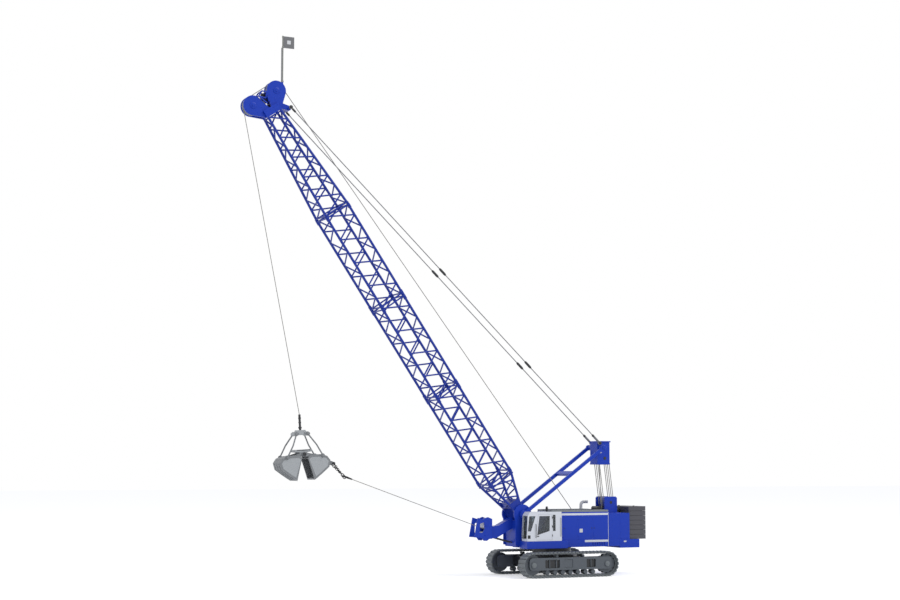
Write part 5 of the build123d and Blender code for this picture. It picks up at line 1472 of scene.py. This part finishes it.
class CRANE_OT_lower_block(bpy.types.Operator):
    """Finishes the lower reeving block"""

    bl_idname = "crane.lower_block"
    bl_label = "Lower block"

    def execute(self, context):
        make_lower_block()
        return {"FINISHED"}


class CRANE_OT_reeving(bpy.types.Operator):
    """Builds the luffing ropes"""

    bl_idname = "crane.reeving"
    bl_label = "Reeving"

    def execute(self, context):
        make_reeving()
        return {"FINISHED"}


class CRANE_OT_boom(bpy.types.Operator):
    """Builds the boom's lattice from round tubes"""

    bl_idname = "crane.boom"
    bl_label = "Boom"

    def execute(self, context):
        make_boom()
        return {"FINISHED"}


class CRANE_OT_boom_head(bpy.types.Operator):
    """Finishes the boom head with its sheaves, guards, bar frame and lamps"""

    bl_idname = "crane.boom_head"
    bl_label = "Boom head"

    def execute(self, context):
        make_boom_head()
        return {"FINISHED"}


class CRANE_OT_flag(bpy.types.Operator):
    """Finishes the mast and the flag"""

    bl_idname = "crane.flag"
    bl_label = "Flag"

    def execute(self, context):
        make_flag()
        return {"FINISHED"}


class CRANE_OT_pendants(bpy.types.Operator):
    """Finishes the pendant bars and their joints"""

    bl_idname = "crane.pendants"
    bl_label = "Pendants"

    def execute(self, context):
        make_pendants()
        return {"FINISHED"}


class CRANE_OT_hoist_rope(bpy.types.Operator):
    """Builds the hoist rope from the grab over the head to the drum"""

    bl_idname = "crane.hoist_rope"
    bl_label = "Hoist rope"

    def execute(self, context):
        make_hoist_rope()
        return {"FINISHED"}


class CRANE_OT_grab(bpy.types.Operator):
    """Finishes the grab's shells, rods, crosshead and socket"""

    bl_idname = "crane.grab"
    bl_label = "Grab"

    def execute(self, context):
        make_grab()
        return {"FINISHED"}


class CRANE_OT_drag_chain(bpy.types.Operator):
    """Builds the ring and the two chains"""

    bl_idname = "crane.drag_chain"
    bl_label = "Drag chain"

    def execute(self, context):
        make_drag_chain()
        return {"FINISHED"}


class CRANE_OT_drag_rope(bpy.types.Operator):
    """Builds the drag rope, its fork and its turn in the fairlead"""

    bl_idname = "crane.drag_rope"
    bl_label = "Drag rope"

    def execute(self, context):
        make_drag_rope()
        return {"FINISHED"}


class CRANE_OT_stage(bpy.types.Operator):
    """Sets the floor, the light and the camera"""

    bl_idname = "crane.stage"
    bl_label = "Stage"

    def execute(self, context):
        make_stage()
        return {"FINISHED"}


PIECES = (
    CRANE_OT_tracks,
    CRANE_OT_undercarriage,
    CRANE_OT_main_frame,
    CRANE_OT_fairlead,
    CRANE_OT_winches,
    CRANE_OT_cab,
    CRANE_OT_house,
    CRANE_OT_walkways,
    CRANE_OT_counterweight,
    CRANE_OT_a_frame,
    CRANE_OT_lower_block,
    CRANE_OT_reeving,
    CRANE_OT_boom,
    CRANE_OT_boom_head,
    CRANE_OT_flag,
    CRANE_OT_pendants,
    CRANE_OT_hoist_rope,
    CRANE_OT_grab,
    CRANE_OT_drag_chain,
    CRANE_OT_drag_rope,
    CRANE_OT_stage,
)


class CRANE_PT_panel(bpy.types.Panel):
    """Lists the pieces in the sidebar, with the sizes and colours that they read"""

    bl_idname = "CRANE_PT_panel"
    bl_label = "Crane"
    bl_space_type = "VIEW_3D"
    bl_region_type = "UI"
    bl_category = "Crane"

    def draw(self, context):
        settings = context.scene.crane_model
        for group in (settings.sizes, settings.colours):
            column = self.layout.column(align=True)
            for key in group.__annotations__:
                column.prop(group, key)
        column = self.layout.column(align=True)
        for piece in PIECES:
            column.operator(piece.bl_idname)


CLASSES = (CraneSizes, CraneColours, CraneSettings, *PIECES, CRANE_PT_panel)


def register():
    """Registers every class and puts the settings on the scene."""
    for entry in CLASSES:
        bpy.utils.register_class(entry)
    bpy.types.Scene.crane_model = PointerProperty(
        type=CraneSettings, name="Crane model", description="Sizes and colours of the crane model"
    )


def unregister():
    """Takes the settings and every class away again."""
    del bpy.types.Scene.crane_model
    for entry in reversed(CLASSES):
        bpy.utils.unregister_class(entry)


def main():
    """Builds every piece and the stage."""
    register()
    for piece in PIECES:
        getattr(bpy.ops.crane, piece.bl_idname.split(".")[1])()


if __name__ == "__main__":
    main()
